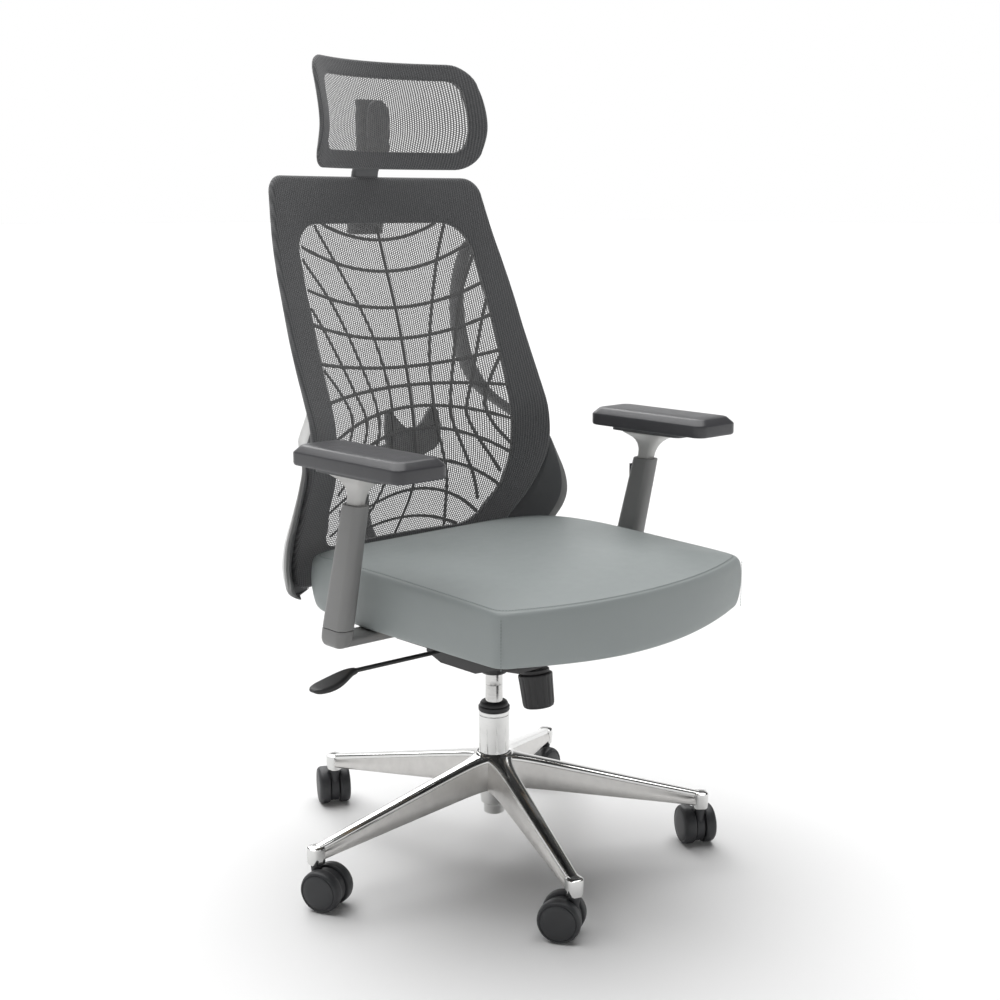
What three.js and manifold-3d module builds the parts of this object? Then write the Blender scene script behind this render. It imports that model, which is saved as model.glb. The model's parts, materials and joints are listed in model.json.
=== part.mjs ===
// High-back office chair: mesh back and headrest on a moulded exoskeleton, padded seat on a rocking
// mechanism, gas lift, five-star base and twin-wheel casters.
//
// Millimetres, +Z up. The chair is drawn about its swivel axis (x = y = 0) with the floor at z = 0 and the
// sitter facing -Y, then shifted so that the middle of its bounding box stands over the origin.

import * as THREE from 'three';
import { mergeVertices } from 'three/addons/utils/BufferGeometryUtils.js';
import Module from 'manifold-3d';

const wasm = await Module();
wasm.setup();

// ---------------------------------------------------------------- driving dimensions

const GAP = 0.4; // clearance between neighbouring pieces

const BASE_RADIUS = 340; // swivel axis to caster stem
const BASE_ARMS = 5;
const FIRST_ARM_ANGLE = 103.2; // degrees from +X
const CASTER_YAWS = [62, 292, 122, 62, 190]; // where each caster trails to, degrees from +X
const WHEEL_RADIUS = 32.5;
const WHEEL_SIDES = 20;
const CASTER_TRAIL = 18;
const SOCKET_BOTTOM = 67;
const HUB_BOTTOM = 110;
const HUB_TOP = 170;

const COLUMN_BOTTOM = 66;
const COLUMN_TOP = 240;
const CYLINDER_RADIUS = 14;
const CYLINDER_BOTTOM = 128;
const CYLINDER_TOP = 326;

const FRONT_PIVOT = { y: -111, z: 357 }; // seat plate rocks about this pin
const REAR_PIVOT = { y: 70, z: 347 }; // back carrier swings about this pin
const HOUSING_HALF_WIDTH = 62;
const KNOB_TILT = THREE.MathUtils.degToRad(10);
const KNOB_PLACE = { y: -93, z: 335 };
const LEVER_PLACE = { y: 29, z: 349 };

const SEAT_HALF_WIDTH = 262;
const SEAT_FRONT_CORNER = -297;
const SEAT_FRONT = -343;
const SEAT_REAR = 190;
const SEAT_BOTTOM = 431;
const SEAT_TOP = 517;

const ARM_X = 308;
const SLEEVE_FOOT = { y: 3, z: 434 };
const SLEEVE_MOUTH = { y: -44, z: 625 };
const PAD = { x: 310, y: -76, length: 248, width: 94, bottom: 676.8, top: 708 };

const BACK_BOTTOM = 430;
const BACK_TOP = 1090;
const FRAME_THICKNESS = 16;
const MESH_THICKNESS = 2.5;
const WINDOW_BOTTOM = 492;
const WINDOW_TOP = 1038;

const HEAD_BOTTOM = 1102;
const HEAD_TOP = 1268;
const HEAD_BAND = 30;
const HEAD_WRAP = 2.1e-3;
const HEAD_THICKNESS = 12;
const HEAD_PIVOT = { y: 288.2, z: 1160 };
const KNUCKLE_RADIUS = 4.2;
const POST_Y = { socket: 319, upper: 303.3 };

// ---------------------------------------------------------------- curves that shape the back

// A smooth function through [position, value] knots in rising order, flat beyond its ends.
function smoothCurve(knots) {
  const last = knots.length - 1;
  const slope = (k) => {
    const before = knots[Math.max(k - 1, 0)];
    const after = knots[Math.min(k + 1, last)];
    return (after[1] - before[1]) / (after[0] - before[0]);
  };
  return (at) => {
    const t = THREE.MathUtils.clamp(at, knots[0][0], knots[last][0]);
    let k = 0;
    while (k < last - 1 && t > knots[k + 1][0]) k += 1;
    const span = knots[k + 1][0] - knots[k][0];
    const u = (t - knots[k][0]) / span;
    const rise = (3 - 2 * u) * u * u;
    const ease = u * (1 - u) * span;
    return knots[k][1] * (1 - rise) + knots[k + 1][1] * rise
      + ease * ((1 - u) * slope(k) - u * slope(k + 1));
  };
}

const backSpine = smoothCurve([
  [430, 263], [455, 263], [480, 256], [520, 232], [560, 208], [600, 193], [645, 190], [700, 196],
  [760, 208], [860, 234], [950, 266], [1000, 283], [1090, 306],
]);
// How fast the back curves forward away from its middle, per mm: most at the waist.
const backWrap = smoothCurve([
  [430, 6.8e-4], [580, 6.8e-4], [640, 9.2e-4], [700, 1.08e-3], [750, 9.4e-4], [800, 7.8e-4], [860, 6.6e-4],
  [1090, 6.6e-4],
]);
const backHalfWidth = smoothCurve([
  [430, 216], [455, 222], [505, 236], [540, 247], [600, 256], [640, 256], [700, 251], [820, 246],
  [940, 237], [1050, 221], [1090, 214],
]);
const windowHalfWidth = smoothCurve([
  [492, 158], [515, 164], [560, 184], [600, 188], [660, 188], [780, 189], [900, 187], [1038, 176],
]);
const headSpine = smoothCurve([[1102, 281], [1135, 268], [1170, 260], [1215, 268], [1268, 288]]);
const headHalfWidth = smoothCurve([[1102, 168], [1140, 169], [1170, 167], [1200, 169], [1230, 168], [1268, 164]]);

const backSurface = (x, z) => backSpine(z) - backWrap(z) * x * x;
const headSurface = (x, z) => headSpine(z) - HEAD_WRAP * x * x;

// ---------------------------------------------------------------- geometry helpers

const at = (x, y, z) => new THREE.Vector3(x, y, z);

// Only positions, shared vertices merged, and no triangle that has shrunk to a line.
function welded(geometry) {
  const bare = new THREE.BufferGeometry();
  bare.setAttribute('position', geometry.getAttribute('position'));
  if (geometry.index) bare.setIndex(geometry.index);
  const merged = mergeVertices(bare, 1e-3);
  const corners = merged.index.array;
  const kept = [];
  for (let i = 0; i < corners.length; i += 3) {
    const [a, b, c] = [corners[i], corners[i + 1], corners[i + 2]];
    if (a !== b && b !== c && c !== a) kept.push(a, b, c);
  }
  merged.setIndex(kept);
  return merged;
}

// Turn a closed body's triangles over if they face inwards.
function outward(geometry) {
  const position = geometry.getAttribute('position');
  const corners = [...geometry.index.array];
  const [a, b, c] = [at(0, 0, 0), at(0, 0, 0), at(0, 0, 0)];
  let volume = 0;
  for (let i = 0; i < corners.length; i += 3) {
    a.fromBufferAttribute(position, corners[i]);
    b.fromBufferAttribute(position, corners[i + 1]);
    c.fromBufferAttribute(position, corners[i + 2]);
    volume += a.dot(b.cross(c));
  }
  if (volume < 0) geometry.setIndex(corners.reverse());
  return geometry;
}

function bodyFrom(points, triangles) {
  const geometry = new THREE.BufferGeometry().setFromPoints(points);
  geometry.setIndex(triangles);
  return outward(welded(geometry));
}

// Two triangles for each side of the strip between two rings of points.
function strip(first, second, count) {
  const triangles = [];
  for (let i = 0; i < count; i += 1) {
    const next = (i + 1) % count;
    triangles.push(first + i, first + next, second + next, first + i, second + next, second + i);
  }
  return triangles;
}

// A solid through rings of points, with a fan over each end.
function loft(rings) {
  const count = rings[0].length;
  const points = rings.flat();
  const triangles = [];
  for (let r = 0; r + 1 < rings.length; r += 1) triangles.push(...strip(r * count, (r + 1) * count, count));
  for (const [ring, turned] of [[0, true], [rings.length - 1, false]]) {
    const middle = points.length;
    points.push(rings[ring].reduce((sum, p) => sum.clone().add(p), at(0, 0, 0)).divideScalar(count));
    for (let i = 0; i < count; i += 1) {
      const pair = [ring * count + i, ring * count + ((i + 1) % count)];
      if (turned) pair.reverse();
      triangles.push(middle, ...pair);
    }
  }
  return bodyFrom(points, triangles);
}

// A closed loop through rings of points, such as a frame around a window.
function loop(rings) {
  const count = rings[0].length;
  const triangles = [];
  rings.forEach((_, r) => triangles.push(...strip(r * count, ((r + 1) % rings.length) * count, count)));
  return bodyFrom(rings.flat(), triangles);
}

// Rounded rectangle, anticlockwise, as [across, along] pairs.
function roundedRectangle(width, depth, radius, perCorner = 3) {
  const points = [];
  [[1, 1], [-1, 1], [-1, -1], [1, -1]].forEach(([sideX, sideY], quarter) => {
    for (let step = 0; step <= perCorner; step += 1) {
      const angle = (quarter + step / perCorner) * (Math.PI / 2);
      points.push([
        sideX * (width / 2 - radius) + radius * Math.cos(angle),
        sideY * (depth / 2 - radius) + radius * Math.sin(angle),
      ]);
    }
  });
  return points;
}

const level = (outline, x, y, z) => outline.map(([across, along]) => at(x + across, y + along, z));

// A profile of [radius, z] pairs turned about +Z.
function turned(profile, sides = 24) {
  const geometry = new THREE.LatheGeometry(profile.map(([radius, z]) => new THREE.Vector2(radius, z)), sides);
  geometry.rotateX(Math.PI / 2);
  return outward(welded(geometry));
}

// The same for a ring, whose profile closes on itself.
const turnedRing = (profile, sides) => turned([...profile, profile[0]], sides);

// A round rod between two points.
function rod(radius, from, to, sides = 16) {
  const along = to.clone().sub(from);
  const geometry = new THREE.CylinderGeometry(radius, radius, along.length(), sides);
  const turn = new THREE.Quaternion().setFromUnitVectors(at(0, 1, 0), along.clone().normalize());
  geometry.applyQuaternion(turn);
  geometry.translate(...from.clone().add(to).divideScalar(2));
  return outward(welded(geometry));
}

// A box between two corners.
function block(low, high) {
  const geometry = new THREE.BoxGeometry(high[0] - low[0], high[1] - low[1], high[2] - low[2]);
  geometry.translate((low[0] + high[0]) / 2, (low[1] + high[1]) / 2, (low[2] + high[2]) / 2);
  return outward(welded(geometry));
}

// A side view of [y, z] pairs, pulled out across X.
function sidePlate(outline, fromX, toX) {
  const shape = new THREE.Shape(outline.map(([y, z]) => new THREE.Vector2(y, z)));
  const geometry = new THREE.ExtrudeGeometry(shape, { depth: toX - fromX, bevelEnabled: false });
  geometry.applyMatrix4(new THREE.Matrix4().makeBasis(at(0, 1, 0), at(0, 0, 1), at(1, 0, 0)));
  geometry.translate(fromX, 0, 0);
  return outward(welded(geometry));
}

function solid(geometry) {
  const body = welded(geometry);
  return new wasm.Manifold(new wasm.Mesh({
    numProp: 3,
    vertProperties: Float32Array.from(body.getAttribute('position').array),
    triVerts: Uint32Array.from(body.index.array),
  }));
}

function geometryOf(body) {
  const mesh = body.getMesh();
  const geometry = new THREE.BufferGeometry();
  geometry.setAttribute('position', new THREE.BufferAttribute(Float32Array.from(mesh.vertProperties), 3));
  geometry.setIndex([...mesh.triVerts]);
  return welded(geometry);
}

// Join the first list of geometries, then cut the second list away.
function carve(joined, cut = []) {
  let body = joined.map(solid).reduce((sum, next) => sum.add(next));
  for (const tool of cut.map(solid)) body = body.subtract(tool);
  return geometryOf(body);
}

const mirrored = (geometry) => outward(geometry.clone().scale(-1, 1, 1));

// ---------------------------------------------------------------- materials

const plain = (color, roughness, metalness = 0) =>
  new THREE.MeshStandardMaterial({ color, roughness, metalness });

const MATERIALS = {
  polished: plain(0xd4d4d2, 0.18, 1),
  steel: plain(0x9a9a98, 0.3, 1),
  blackSteel: plain(0x2b2c2e, 0.5, 0.6),
  blackPlastic: plain(0x333436, 0.55),
  greyPlastic: plain(0xb4b3b0, 0.5),
  darkPlastic: plain(0x4a4b4d, 0.5),
  mesh: plain(0x55565a, 0.9),
  leather: plain(0x909a99, 0.5),
  foam: plain(0xd9d4c4, 0.95),
  pad: plain(0x3f4044, 0.6),
  wood: plain(0xb89b72, 0.7),
  tyre: plain(0x3c3d40, 0.5),
};

const chair = new THREE.Group();

function add(name, geometry, material, group = chair) {
  const mesh = new THREE.Mesh(geometry, material);
  mesh.name = name;
  group.add(mesh);
}

const SIDES = [['left', 1], ['right', -1]]; // the sitter's left is +X

// Two mirrored pieces from one drawn on the sitter's left.
function addPair(name, geometry, material) {
  for (const [side, sign] of SIDES) add(`${name}_${side}`, sign > 0 ? geometry : mirrored(geometry), material);
}

// ---------------------------------------------------------------- base and column

const ARM_ROOT = 18;
const ARM_TIP_TOP = 94;
const TIP_RADIUS = 13;
const STEM_RADIUS = 5.5;

const columnProfile = (grow) => [
  [17 + grow, COLUMN_BOTTOM], [17 + grow, 82], [22 + grow, 86], [24 + grow, HUB_BOTTOM + 10], [25 + grow, HUB_TOP],
  [25 + grow, COLUMN_TOP - 2], [24 + grow, COLUMN_TOP],
];

// One arm along +X: a deep root that thins to the tip, narrow on top and wider below.
function baseArm() {
  const rings = [ARM_ROOT, 60, 130, 200, 270, BASE_RADIUS].map((r) => {
    const u = (r - ARM_ROOT) / (BASE_RADIUS - ARM_ROOT);
    const top = THREE.MathUtils.lerp(HUB_TOP - 4, ARM_TIP_TOP, u);
    const bottom = THREE.MathUtils.lerp(HUB_BOTTOM + 3, 71, u);
    const ridge = THREE.MathUtils.lerp(17, 8.5, u);
    const belly = THREE.MathUtils.lerp(21, 11.5, u);
    const height = top - bottom;
    return [
      [-belly * 0.8, bottom], [belly * 0.8, bottom], [belly, bottom + 0.18 * height],
      [ridge, top - 0.16 * height], [ridge * 0.7, top], [-ridge * 0.7, top],
      [-ridge, top - 0.16 * height], [-belly, bottom + 0.18 * height],
    ].map(([y, z]) => at(r, y, z));
  });
  return loft(rings);
}

function tipSocket() {
  return turned([
    [0, SOCKET_BOTTOM], [TIP_RADIUS - 1.5, SOCKET_BOTTOM], [TIP_RADIUS, SOCKET_BOTTOM + 1.5],
    [TIP_RADIUS, ARM_TIP_TOP - 3], [TIP_RADIUS - 3, ARM_TIP_TOP], [0, ARM_TIP_TOP + 0.6],
  ], 16).translate(BASE_RADIUS, 0, 0);
}

function addBase() {
  const hub = turned([[0, HUB_BOTTOM], [30, HUB_BOTTOM], [33, HUB_BOTTOM + 4], [33, HUB_TOP - 16], [28, HUB_TOP], [0, HUB_TOP]]);
  const joined = [hub];
  const cut = [turned([[0, COLUMN_BOTTOM - 4], ...columnProfile(GAP), [0, COLUMN_TOP]])];
  for (let k = 0; k < BASE_ARMS; k += 1) {
    const angle = armAngle(k);
    joined.push(baseArm().rotateZ(angle), tipSocket().rotateZ(angle));
    cut.push(rod(STEM_RADIUS + GAP, at(BASE_RADIUS, 0, SOCKET_BOTTOM - 5), at(BASE_RADIUS, 0, 86), 12).rotateZ(angle));
  }
  add('star_base', carve(joined, cut), MATERIALS.polished);
}

const armAngle = (k) => THREE.MathUtils.degToRad(FIRST_ARM_ANGLE + (360 / BASE_ARMS) * k);

function addColumn() {
  add('column_tube', turnedRing([
    ...columnProfile(0), [20, COLUMN_TOP], [20, 92], [15, 84], [15, 72], [6, 72], [6, COLUMN_BOTTOM],
  ]), MATERIALS.polished);
  add('column_bush', turnedRing([
    [CYLINDER_RADIUS + GAP, 196], [20 - GAP, 196], [20 - GAP, COLUMN_TOP + GAP], [25.5, COLUMN_TOP + GAP],
    [25.5, 250], [22, 256], [CYLINDER_RADIUS + GAP, 256],
  ]), MATERIALS.blackPlastic);
  add('thrust_bearing', turnedRing([[5 + GAP, 72 + GAP], [13, 72 + GAP], [13, 79.6], [5 + GAP, 79.6]], 24),
    MATERIALS.steel);
  add('piston_rod', turned([
    [0, 67], [5, 67], [5, 80], [8, 80], [8, 82], [5, 82], [5, 196], [11, 196], [11, 203], [0, 203],
  ], 24), MATERIALS.steel);
  add('gas_cylinder', turned([
    [0, 296], [12, 296], [12, 138], [8.6, 138], [8.6, CYLINDER_BOTTOM], [CYLINDER_RADIUS, CYLINDER_BOTTOM],
    [CYLINDER_RADIUS, 292], [13, CYLINDER_TOP], [4.4, CYLINDER_TOP], [4.4, 306], [0, 306],
  ]), MATERIALS.steel);
  add('release_pin', turned([[0, 310], [4, 310], [4, 331], [3, 332], [0, 332]], 16), MATERIALS.steel);
}

// ---------------------------------------------------------------- casters

const AXLE_RADIUS = 4;
const BODY_HALF_WIDTH = 7.5;

// Each caster is drawn at its swivel axis with its wheels trailing along +X.
function casterFork() {
  const axle = at(CASTER_TRAIL, 0, WHEEL_RADIUS);
  const disc = rod(29, at(CASTER_TRAIL, -BODY_HALF_WIDTH, WHEEL_RADIUS),
    at(CASTER_TRAIL, BODY_HALF_WIDTH, WHEEL_RADIUS), 20);
  const boss = turned([[0, 34], [7.7, 34], [7.7, SOCKET_BOTTOM - 0.6], [0, SOCKET_BOTTOM - 0.6]], 12);
  const stem = turned([[0, 50], [STEM_RADIUS, 50], [STEM_RADIUS, 84], [0, 84]], 12);
  const pin = rod(AXLE_RADIUS, axle.clone().setY(-22), axle.clone().setY(22), 12);
  return carve([disc, boss, stem, pin], [block([-30, -10, -5], [60, 10, 12])]);
}

function casterWheel(sign) {
  const tread = WHEEL_RADIUS / Math.cos(Math.PI / WHEEL_SIDES);
  const wheel = turned([
    [0, 23], [AXLE_RADIUS + GAP, 23], [AXLE_RADIUS + GAP, 8.2], [tread - 2, 8.2], [tread, 10.5],
    [tread, 22], [tread - 4, 27], [0, 28],
  ], WHEEL_SIDES);
  wheel.rotateZ(Math.PI / WHEEL_SIDES);
  wheel.rotateX(-Math.PI / 2);
  wheel.scale(1, sign, 1);
  return outward(wheel.translate(CASTER_TRAIL, 0, WHEEL_RADIUS));
}

function addCasters() {
  for (let k = 0; k < BASE_ARMS; k += 1) {
    const caster = new THREE.Group();
    caster.position.set(BASE_RADIUS * Math.cos(armAngle(k)), BASE_RADIUS * Math.sin(armAngle(k)), 0);
    caster.rotation.z = THREE.MathUtils.degToRad(CASTER_YAWS[k]);
    add(`caster_fork_${k + 1}`, casterFork(), MATERIALS.tyre, caster);
    add(`caster_wheel_${k + 1}_a`, casterWheel(1), MATERIALS.tyre, caster);
    add(`caster_wheel_${k + 1}_b`, casterWheel(-1), MATERIALS.tyre, caster);
    chair.add(caster);
  }
}

// ---------------------------------------------------------------- rocking mechanism

const LUG_INNER = HOUSING_HALF_WIDTH + 0.6;
const LUG_OUTER = LUG_INNER + 4;
const PLATE_BOTTOM = 398.5;
const PLATE_TOP = 403.6;
const FRONT_PIN_RADIUS = 5;
const REAR_PIN_RADIUS = 6;

const knobAxis = at(0, -Math.sin(KNOB_TILT), -Math.cos(KNOB_TILT)); // from the housing down to the knob
const knobPoint = (down) => at(0, KNOB_PLACE.y, KNOB_PLACE.z).addScaledVector(knobAxis, down);
const across = (place, halfWidth) => [at(-halfWidth, place.y, place.z), at(halfWidth, place.y, place.z)];

function addHousing() {
  const outside = [
    [-122, 376], [-122, 340], [-70, 334], [-24, 318], [60, 318], [95, 330], [95, 352],
  ];
  const inside = [[-118, 390], [-118, 344], [-69, 338], [-23, 322], [100, 322], [100, 390]];
  const socket = turned([[0, 303], [20, 303], [23, 306], [23, 320], [0, 320]]);
  const shell = sidePlate(outside, -HOUSING_HALF_WIDTH, HOUSING_HALF_WIDTH);
  const hollow = sidePlate(inside, -HOUSING_HALF_WIDTH + 4, HOUSING_HALF_WIDTH - 4);
  const bore = turned([[0, 300], [CYLINDER_RADIUS + GAP, 300], [CYLINDER_RADIUS + GAP, 330], [0, 330]]);
  add('mechanism_housing', carve([shell, socket], [
    hollow,
    bore,
    rod(FRONT_PIN_RADIUS + GAP, ...across(FRONT_PIVOT, 80)),
    rod(REAR_PIN_RADIUS + GAP, ...across(REAR_PIVOT, 80)),
    rod(5, knobPoint(-20), knobPoint(20)),
    rod(8, at(-70, LEVER_PLACE.y, LEVER_PLACE.z), at(-50, LEVER_PLACE.y, LEVER_PLACE.z)),
  ]), MATERIALS.blackSteel);
  add('front_pivot_pin', rod(FRONT_PIN_RADIUS, ...across(FRONT_PIVOT, 72)), MATERIALS.steel);
  add('rear_pivot_pin', rod(REAR_PIN_RADIUS, ...across(REAR_PIVOT, 68)), MATERIALS.steel);
}

class Coil extends THREE.Curve {
  constructor(radius, height, turns) {
    super();
    Object.assign(this, { radius, height, turns });
  }

  getPoint(t) {
    const angle = 2 * Math.PI * this.turns * t;
    return at(this.radius * Math.cos(angle), this.radius * Math.sin(angle), this.height * t);
  }
}

function addTensionSpring() {
  const wire = new THREE.Shape(roundedRectangle(3.6, 3.6, 1.79, 1).map(([u, v]) => new THREE.Vector2(u, v)));
  const coil = new THREE.ExtrudeGeometry(wire, {
    steps: 48, bevelEnabled: false, extrudePath: new Coil(11, 28, 3.5),
  });
  coil.rotateX(-KNOB_TILT);
  coil.translate(...knobPoint(-12));
  add('tilt_spring', outward(welded(coil)), MATERIALS.steel);
  add('tension_bolt', rod(4, knobPoint(24), knobPoint(-46), 16), MATERIALS.steel);
}

// The knob's ribs are shallow lobes around a tapered body, below a narrower neck.
function addTensionKnob() {
  const lobes = 12;
  const sides = 36;
  const ring = (down, radius, rib) => Array.from({ length: sides }, (_, i) => {
    const angle = (2 * Math.PI * i) / sides;
    const reach = radius + rib * Math.cos(lobes * angle);
    return at(reach * Math.cos(angle), reach * Math.sin(angle), -down);
  });
  const knob = loft([
    ring(5.5, 23, 0), ring(12, 23, 0), ring(12.1, 27, 0.3), ring(62, 24.2, 0.9), ring(67, 20, 0),
  ]);
  knob.rotateX(-KNOB_TILT);
  knob.translate(0, KNOB_PLACE.y, KNOB_PLACE.z);
  add('tension_knob', carve([knob], [rod(4 + GAP, knobPoint(0), knobPoint(25), 16)]), MATERIALS.blackPlastic);
}

// The lift lever: a bush in the housing's side, a flat bar, and a spoon-shaped paddle.
function addLever() {
  const { y, z } = LEVER_PLACE;
  add('lever_bush', carve(
    [rod(7.6, at(-76, y, z), at(-52, y, z), 24)],
    [rod(5, at(-80, y, z), at(-50, y, z), 16)],
  ), MATERIALS.blackPlastic);
  const bar = loft([-50, -76, -120, -262].map((x) => roundedRectangle(8.4, 6.4, 2.6, 2)
    .map(([u, v]) => at(x, y + u, z + v + (x + 76 < 0 ? (x + 76) * -0.02 : 0)))));
  add('lever_rod', bar, MATERIALS.blackSteel);
  const paddle = [
    [-262.5, 13, 11, 0], [-272, 20, 13, -2], [-290, 34, 13, -8], [-310, 40, 11, -12], [-328, 34, 9, -14],
    [-340, 18, 7, -15],
  ];
  add('lever_paddle', loft(paddle.map(([x, width, height, drop]) =>
    roundedRectangle(width, height, height * 0.45, 3).map(([u, v]) => at(x, y + u, z + 4 + v + drop)))),
  MATERIALS.blackPlastic);
}

function addCarrier() {
  const outline = [
    [48, 338], [48, 356], [75, 361], [120, 362], [170, 372], [225, 396], [262, 418], [280.5, 426],
    [280.5, 435.6], [311, 435.6], [311, 420], [285, 400], [240, 376], [180, 352], [120, 340], [75, 334],
  ];
  add('back_carrier', carve(
    [sidePlate(outline, -36, 36)],
    [rod(REAR_PIN_RADIUS + GAP, ...across(REAR_PIVOT, 60))],
  ), MATERIALS.blackSteel);
}

function addSeatPlate() {
  const plate = block([-95, -138, PLATE_BOTTOM], [95, 122, PLATE_TOP]);
  const lugs = [-1, 1].map((sign) => {
    const faces = [sign * LUG_INNER, sign * LUG_OUTER].sort((a, b) => a - b);
    return sidePlate([[-122, 346], [-100, 346], [-84, 400], [-136, 400]], ...faces);
  });
  add('seat_plate', carve([plate, ...lugs], [rod(FRONT_PIN_RADIUS + GAP, ...across(FRONT_PIVOT, 80))]),
    MATERIALS.blackSteel);
}

// ---------------------------------------------------------------- seat

const SEAT_CORNER = 22;
const SEAT_REAR_CORNER = 74;

// Plan of the seat: straight sides, a bowed front between tight corners, and a rounded rear.
function seatOutline(inset = 0) {
  const half = SEAT_HALF_WIDTH - inset;
  const front = SEAT_FRONT_CORNER + inset;
  const bow = SEAT_FRONT + inset;
  const rear = SEAT_REAR - inset;
  const shape = new THREE.Shape();
  shape.moveTo(0, rear);
  shape.lineTo(-half + SEAT_REAR_CORNER + 14, rear);
  shape.quadraticCurveTo(-half + 14, rear, -half + 8, rear - SEAT_REAR_CORNER);
  shape.quadraticCurveTo(-half, rear - 2.2 * SEAT_REAR_CORNER, -half, 0);
  shape.lineTo(-half, front + SEAT_CORNER);
  shape.quadraticCurveTo(-half, front, -half + SEAT_CORNER, front - 5);
  shape.quadraticCurveTo(-half / 2, bow, 0, bow);
  shape.quadraticCurveTo(half / 2, bow, half - SEAT_CORNER, front - 5);
  shape.quadraticCurveTo(half, front, half, front + SEAT_CORNER);
  shape.lineTo(half, 0);
  shape.quadraticCurveTo(half, rear - 2.2 * SEAT_REAR_CORNER, half - 8, rear - SEAT_REAR_CORNER);
  shape.quadraticCurveTo(half - 14, rear, half - SEAT_REAR_CORNER - 14, rear);
  shape.lineTo(0, rear);
  return shape.getPoints(4).slice(0, -1).map((p) => [p.x, p.y]);
}

const seatSeam = smoothCurve([[SEAT_FRONT, 497], [-200, 503], [60, 508], [SEAT_REAR, 498]]);

// How far along the bowed front a point lies: 0 on the sides, 1 in the middle of the front edge.
function frontness(x, y) {
  const forward = THREE.MathUtils.clamp((SEAT_FRONT_CORNER + 30 - y) / 70, 0, 1);
  return forward * (1 - (x / SEAT_HALF_WIDTH) ** 2);
}

const COVER_THICKNESS = 3;

// The rings of the cushion's surface, from its lower edge over the seam to the top, at a depth below it.
function cushionRings(depth) {
  const lowEdge = (x, y) => SEAT_BOTTOM - 20 * frontness(x, y);
  const between = (u) => (x, y) => THREE.MathUtils.lerp(lowEdge(x, y), seatSeam(y), u);
  const ring = (inset, height) => seatOutline(inset + depth).map(([x, y]) => at(x, y, height(x, y)));
  return [
    ring(9, lowEdge), ring(2, between(0.14)), ring(-1, between(0.5)), ring(0, between(0.94)),
    ring(5, (x, y) => seatSeam(y) + 5 - depth), seatPlan(0.88, SEAT_TOP - 3 - depth), seatPlan(0.5, SEAT_TOP - depth),
  ];
}

const SEAT_MIDDLE_Y = -60;

const seatPlan = (factor, z) => seatOutline()
  .map(([x, y]) => at(x * factor, (y - SEAT_MIDDLE_Y) * factor + SEAT_MIDDLE_Y, z));

function addSeat() {
  add('seat_cover', loft([...cushionRings(COVER_THICKNESS).reverse(), ...cushionRings(0)]), MATERIALS.leather);
  const foamRings = cushionRings(COVER_THICKNESS + GAP).reverse();
  add('seat_foam', loft([...foamRings, seatPlan(0.93, SEAT_BOTTOM)]), MATERIALS.foam);
  const slab = (factor, low, high, edge) => loft([
    seatPlan(factor - edge, low), seatPlan(factor, low + 80 * edge), seatPlan(factor, high),
  ]);
  add('seat_board', slab(0.93, 420.4, SEAT_BOTTOM - GAP, 0), MATERIALS.wood);
  const legRecesses = [-1, 1].map((sign) => block(
    [sign > 0 ? 110 : -300, -30, 401], [sign > 0 ? 300 : -110, 50, 422],
  ));
  add('seat_shell', carve([slab(0.86, 404, 420, 0.06)], legRecesses), MATERIALS.blackPlastic);
}

// ---------------------------------------------------------------- armrests, drawn on the sitter's left

const sleeveY = (z) => THREE.MathUtils.mapLinear(
  z, SLEEVE_FOOT.z, SLEEVE_MOUTH.z, SLEEVE_FOOT.y, SLEEVE_MOUTH.y,
);
const sleeveRing = (z, width, depth, radius) => level(roundedRectangle(width, depth, radius), ARM_X, sleeveY(z), z);

function armBracket() {
  const foot = loft([
    sleeveRing(404, 12, 34, 5), sleeveRing(406, 20, 43, 9), sleeveRing(412, 27, 50, 12),
    sleeveRing(420, 30, 54, 13), sleeveRing(SLEEVE_FOOT.z - GAP, 30, 54, 13),
  ]);
  const leg = loft([ARM_X, 262, 240, 140].map((x) => {
    const wide = THREE.MathUtils.mapLinear(x, ARM_X, 140, 44, 58);
    return roundedRectangle(wide, 14.6, 4, 2).map(([u, v]) => at(x, 10 + u, 412 + v));
  }));
  return carve([foot, leg]);
}

function armSleeve() {
  const outside = loft([
    sleeveRing(SLEEVE_FOOT.z, 30, 54, 13), sleeveRing(530, 28.5, 49, 12.5),
    sleeveRing(SLEEVE_MOUTH.z - 2, 27, 44, 12), sleeveRing(SLEEVE_MOUTH.z, 25, 42, 11),
  ]);
  const bore = loft([sleeveRing(470, 18.8, 30.8, 8), sleeveRing(SLEEVE_MOUTH.z + 6, 18.8, 30.8, 8)]);
  const rear = sleeveY(600) + 22.5;
  return carve([outside], [bore, block([ARM_X - 6.4, rear - 4, 587.6], [ARM_X + 6.4, rear + 8, 612.4])]);
}

function armPost() {
  return loft([
    sleeveRing(476, 18, 30, 7.6), sleeveRing(632, 18, 30, 7.6), sleeveRing(642, 20, 33, 8),
    sleeveRing(652, 26, 44, 10), sleeveRing(660, 38, 66, 14), sleeveRing(666, 54, 98, 18),
    sleeveRing(670, 56, 102, 18),
  ]);
}

function armPad() {
  const outline = (inset, z) => level(
    roundedRectangle(PAD.width - 2 * inset, PAD.length - 2 * inset, 22 - inset * 0.6, 4), PAD.x, PAD.y, z,
  );
  return loft([
    outline(3, PAD.bottom), outline(0, PAD.bottom + 3), outline(0, PAD.top - 12), outline(9, PAD.top - 1.6),
    outline(14, PAD.top), outline(30, PAD.top),
  ]);
}

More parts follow.
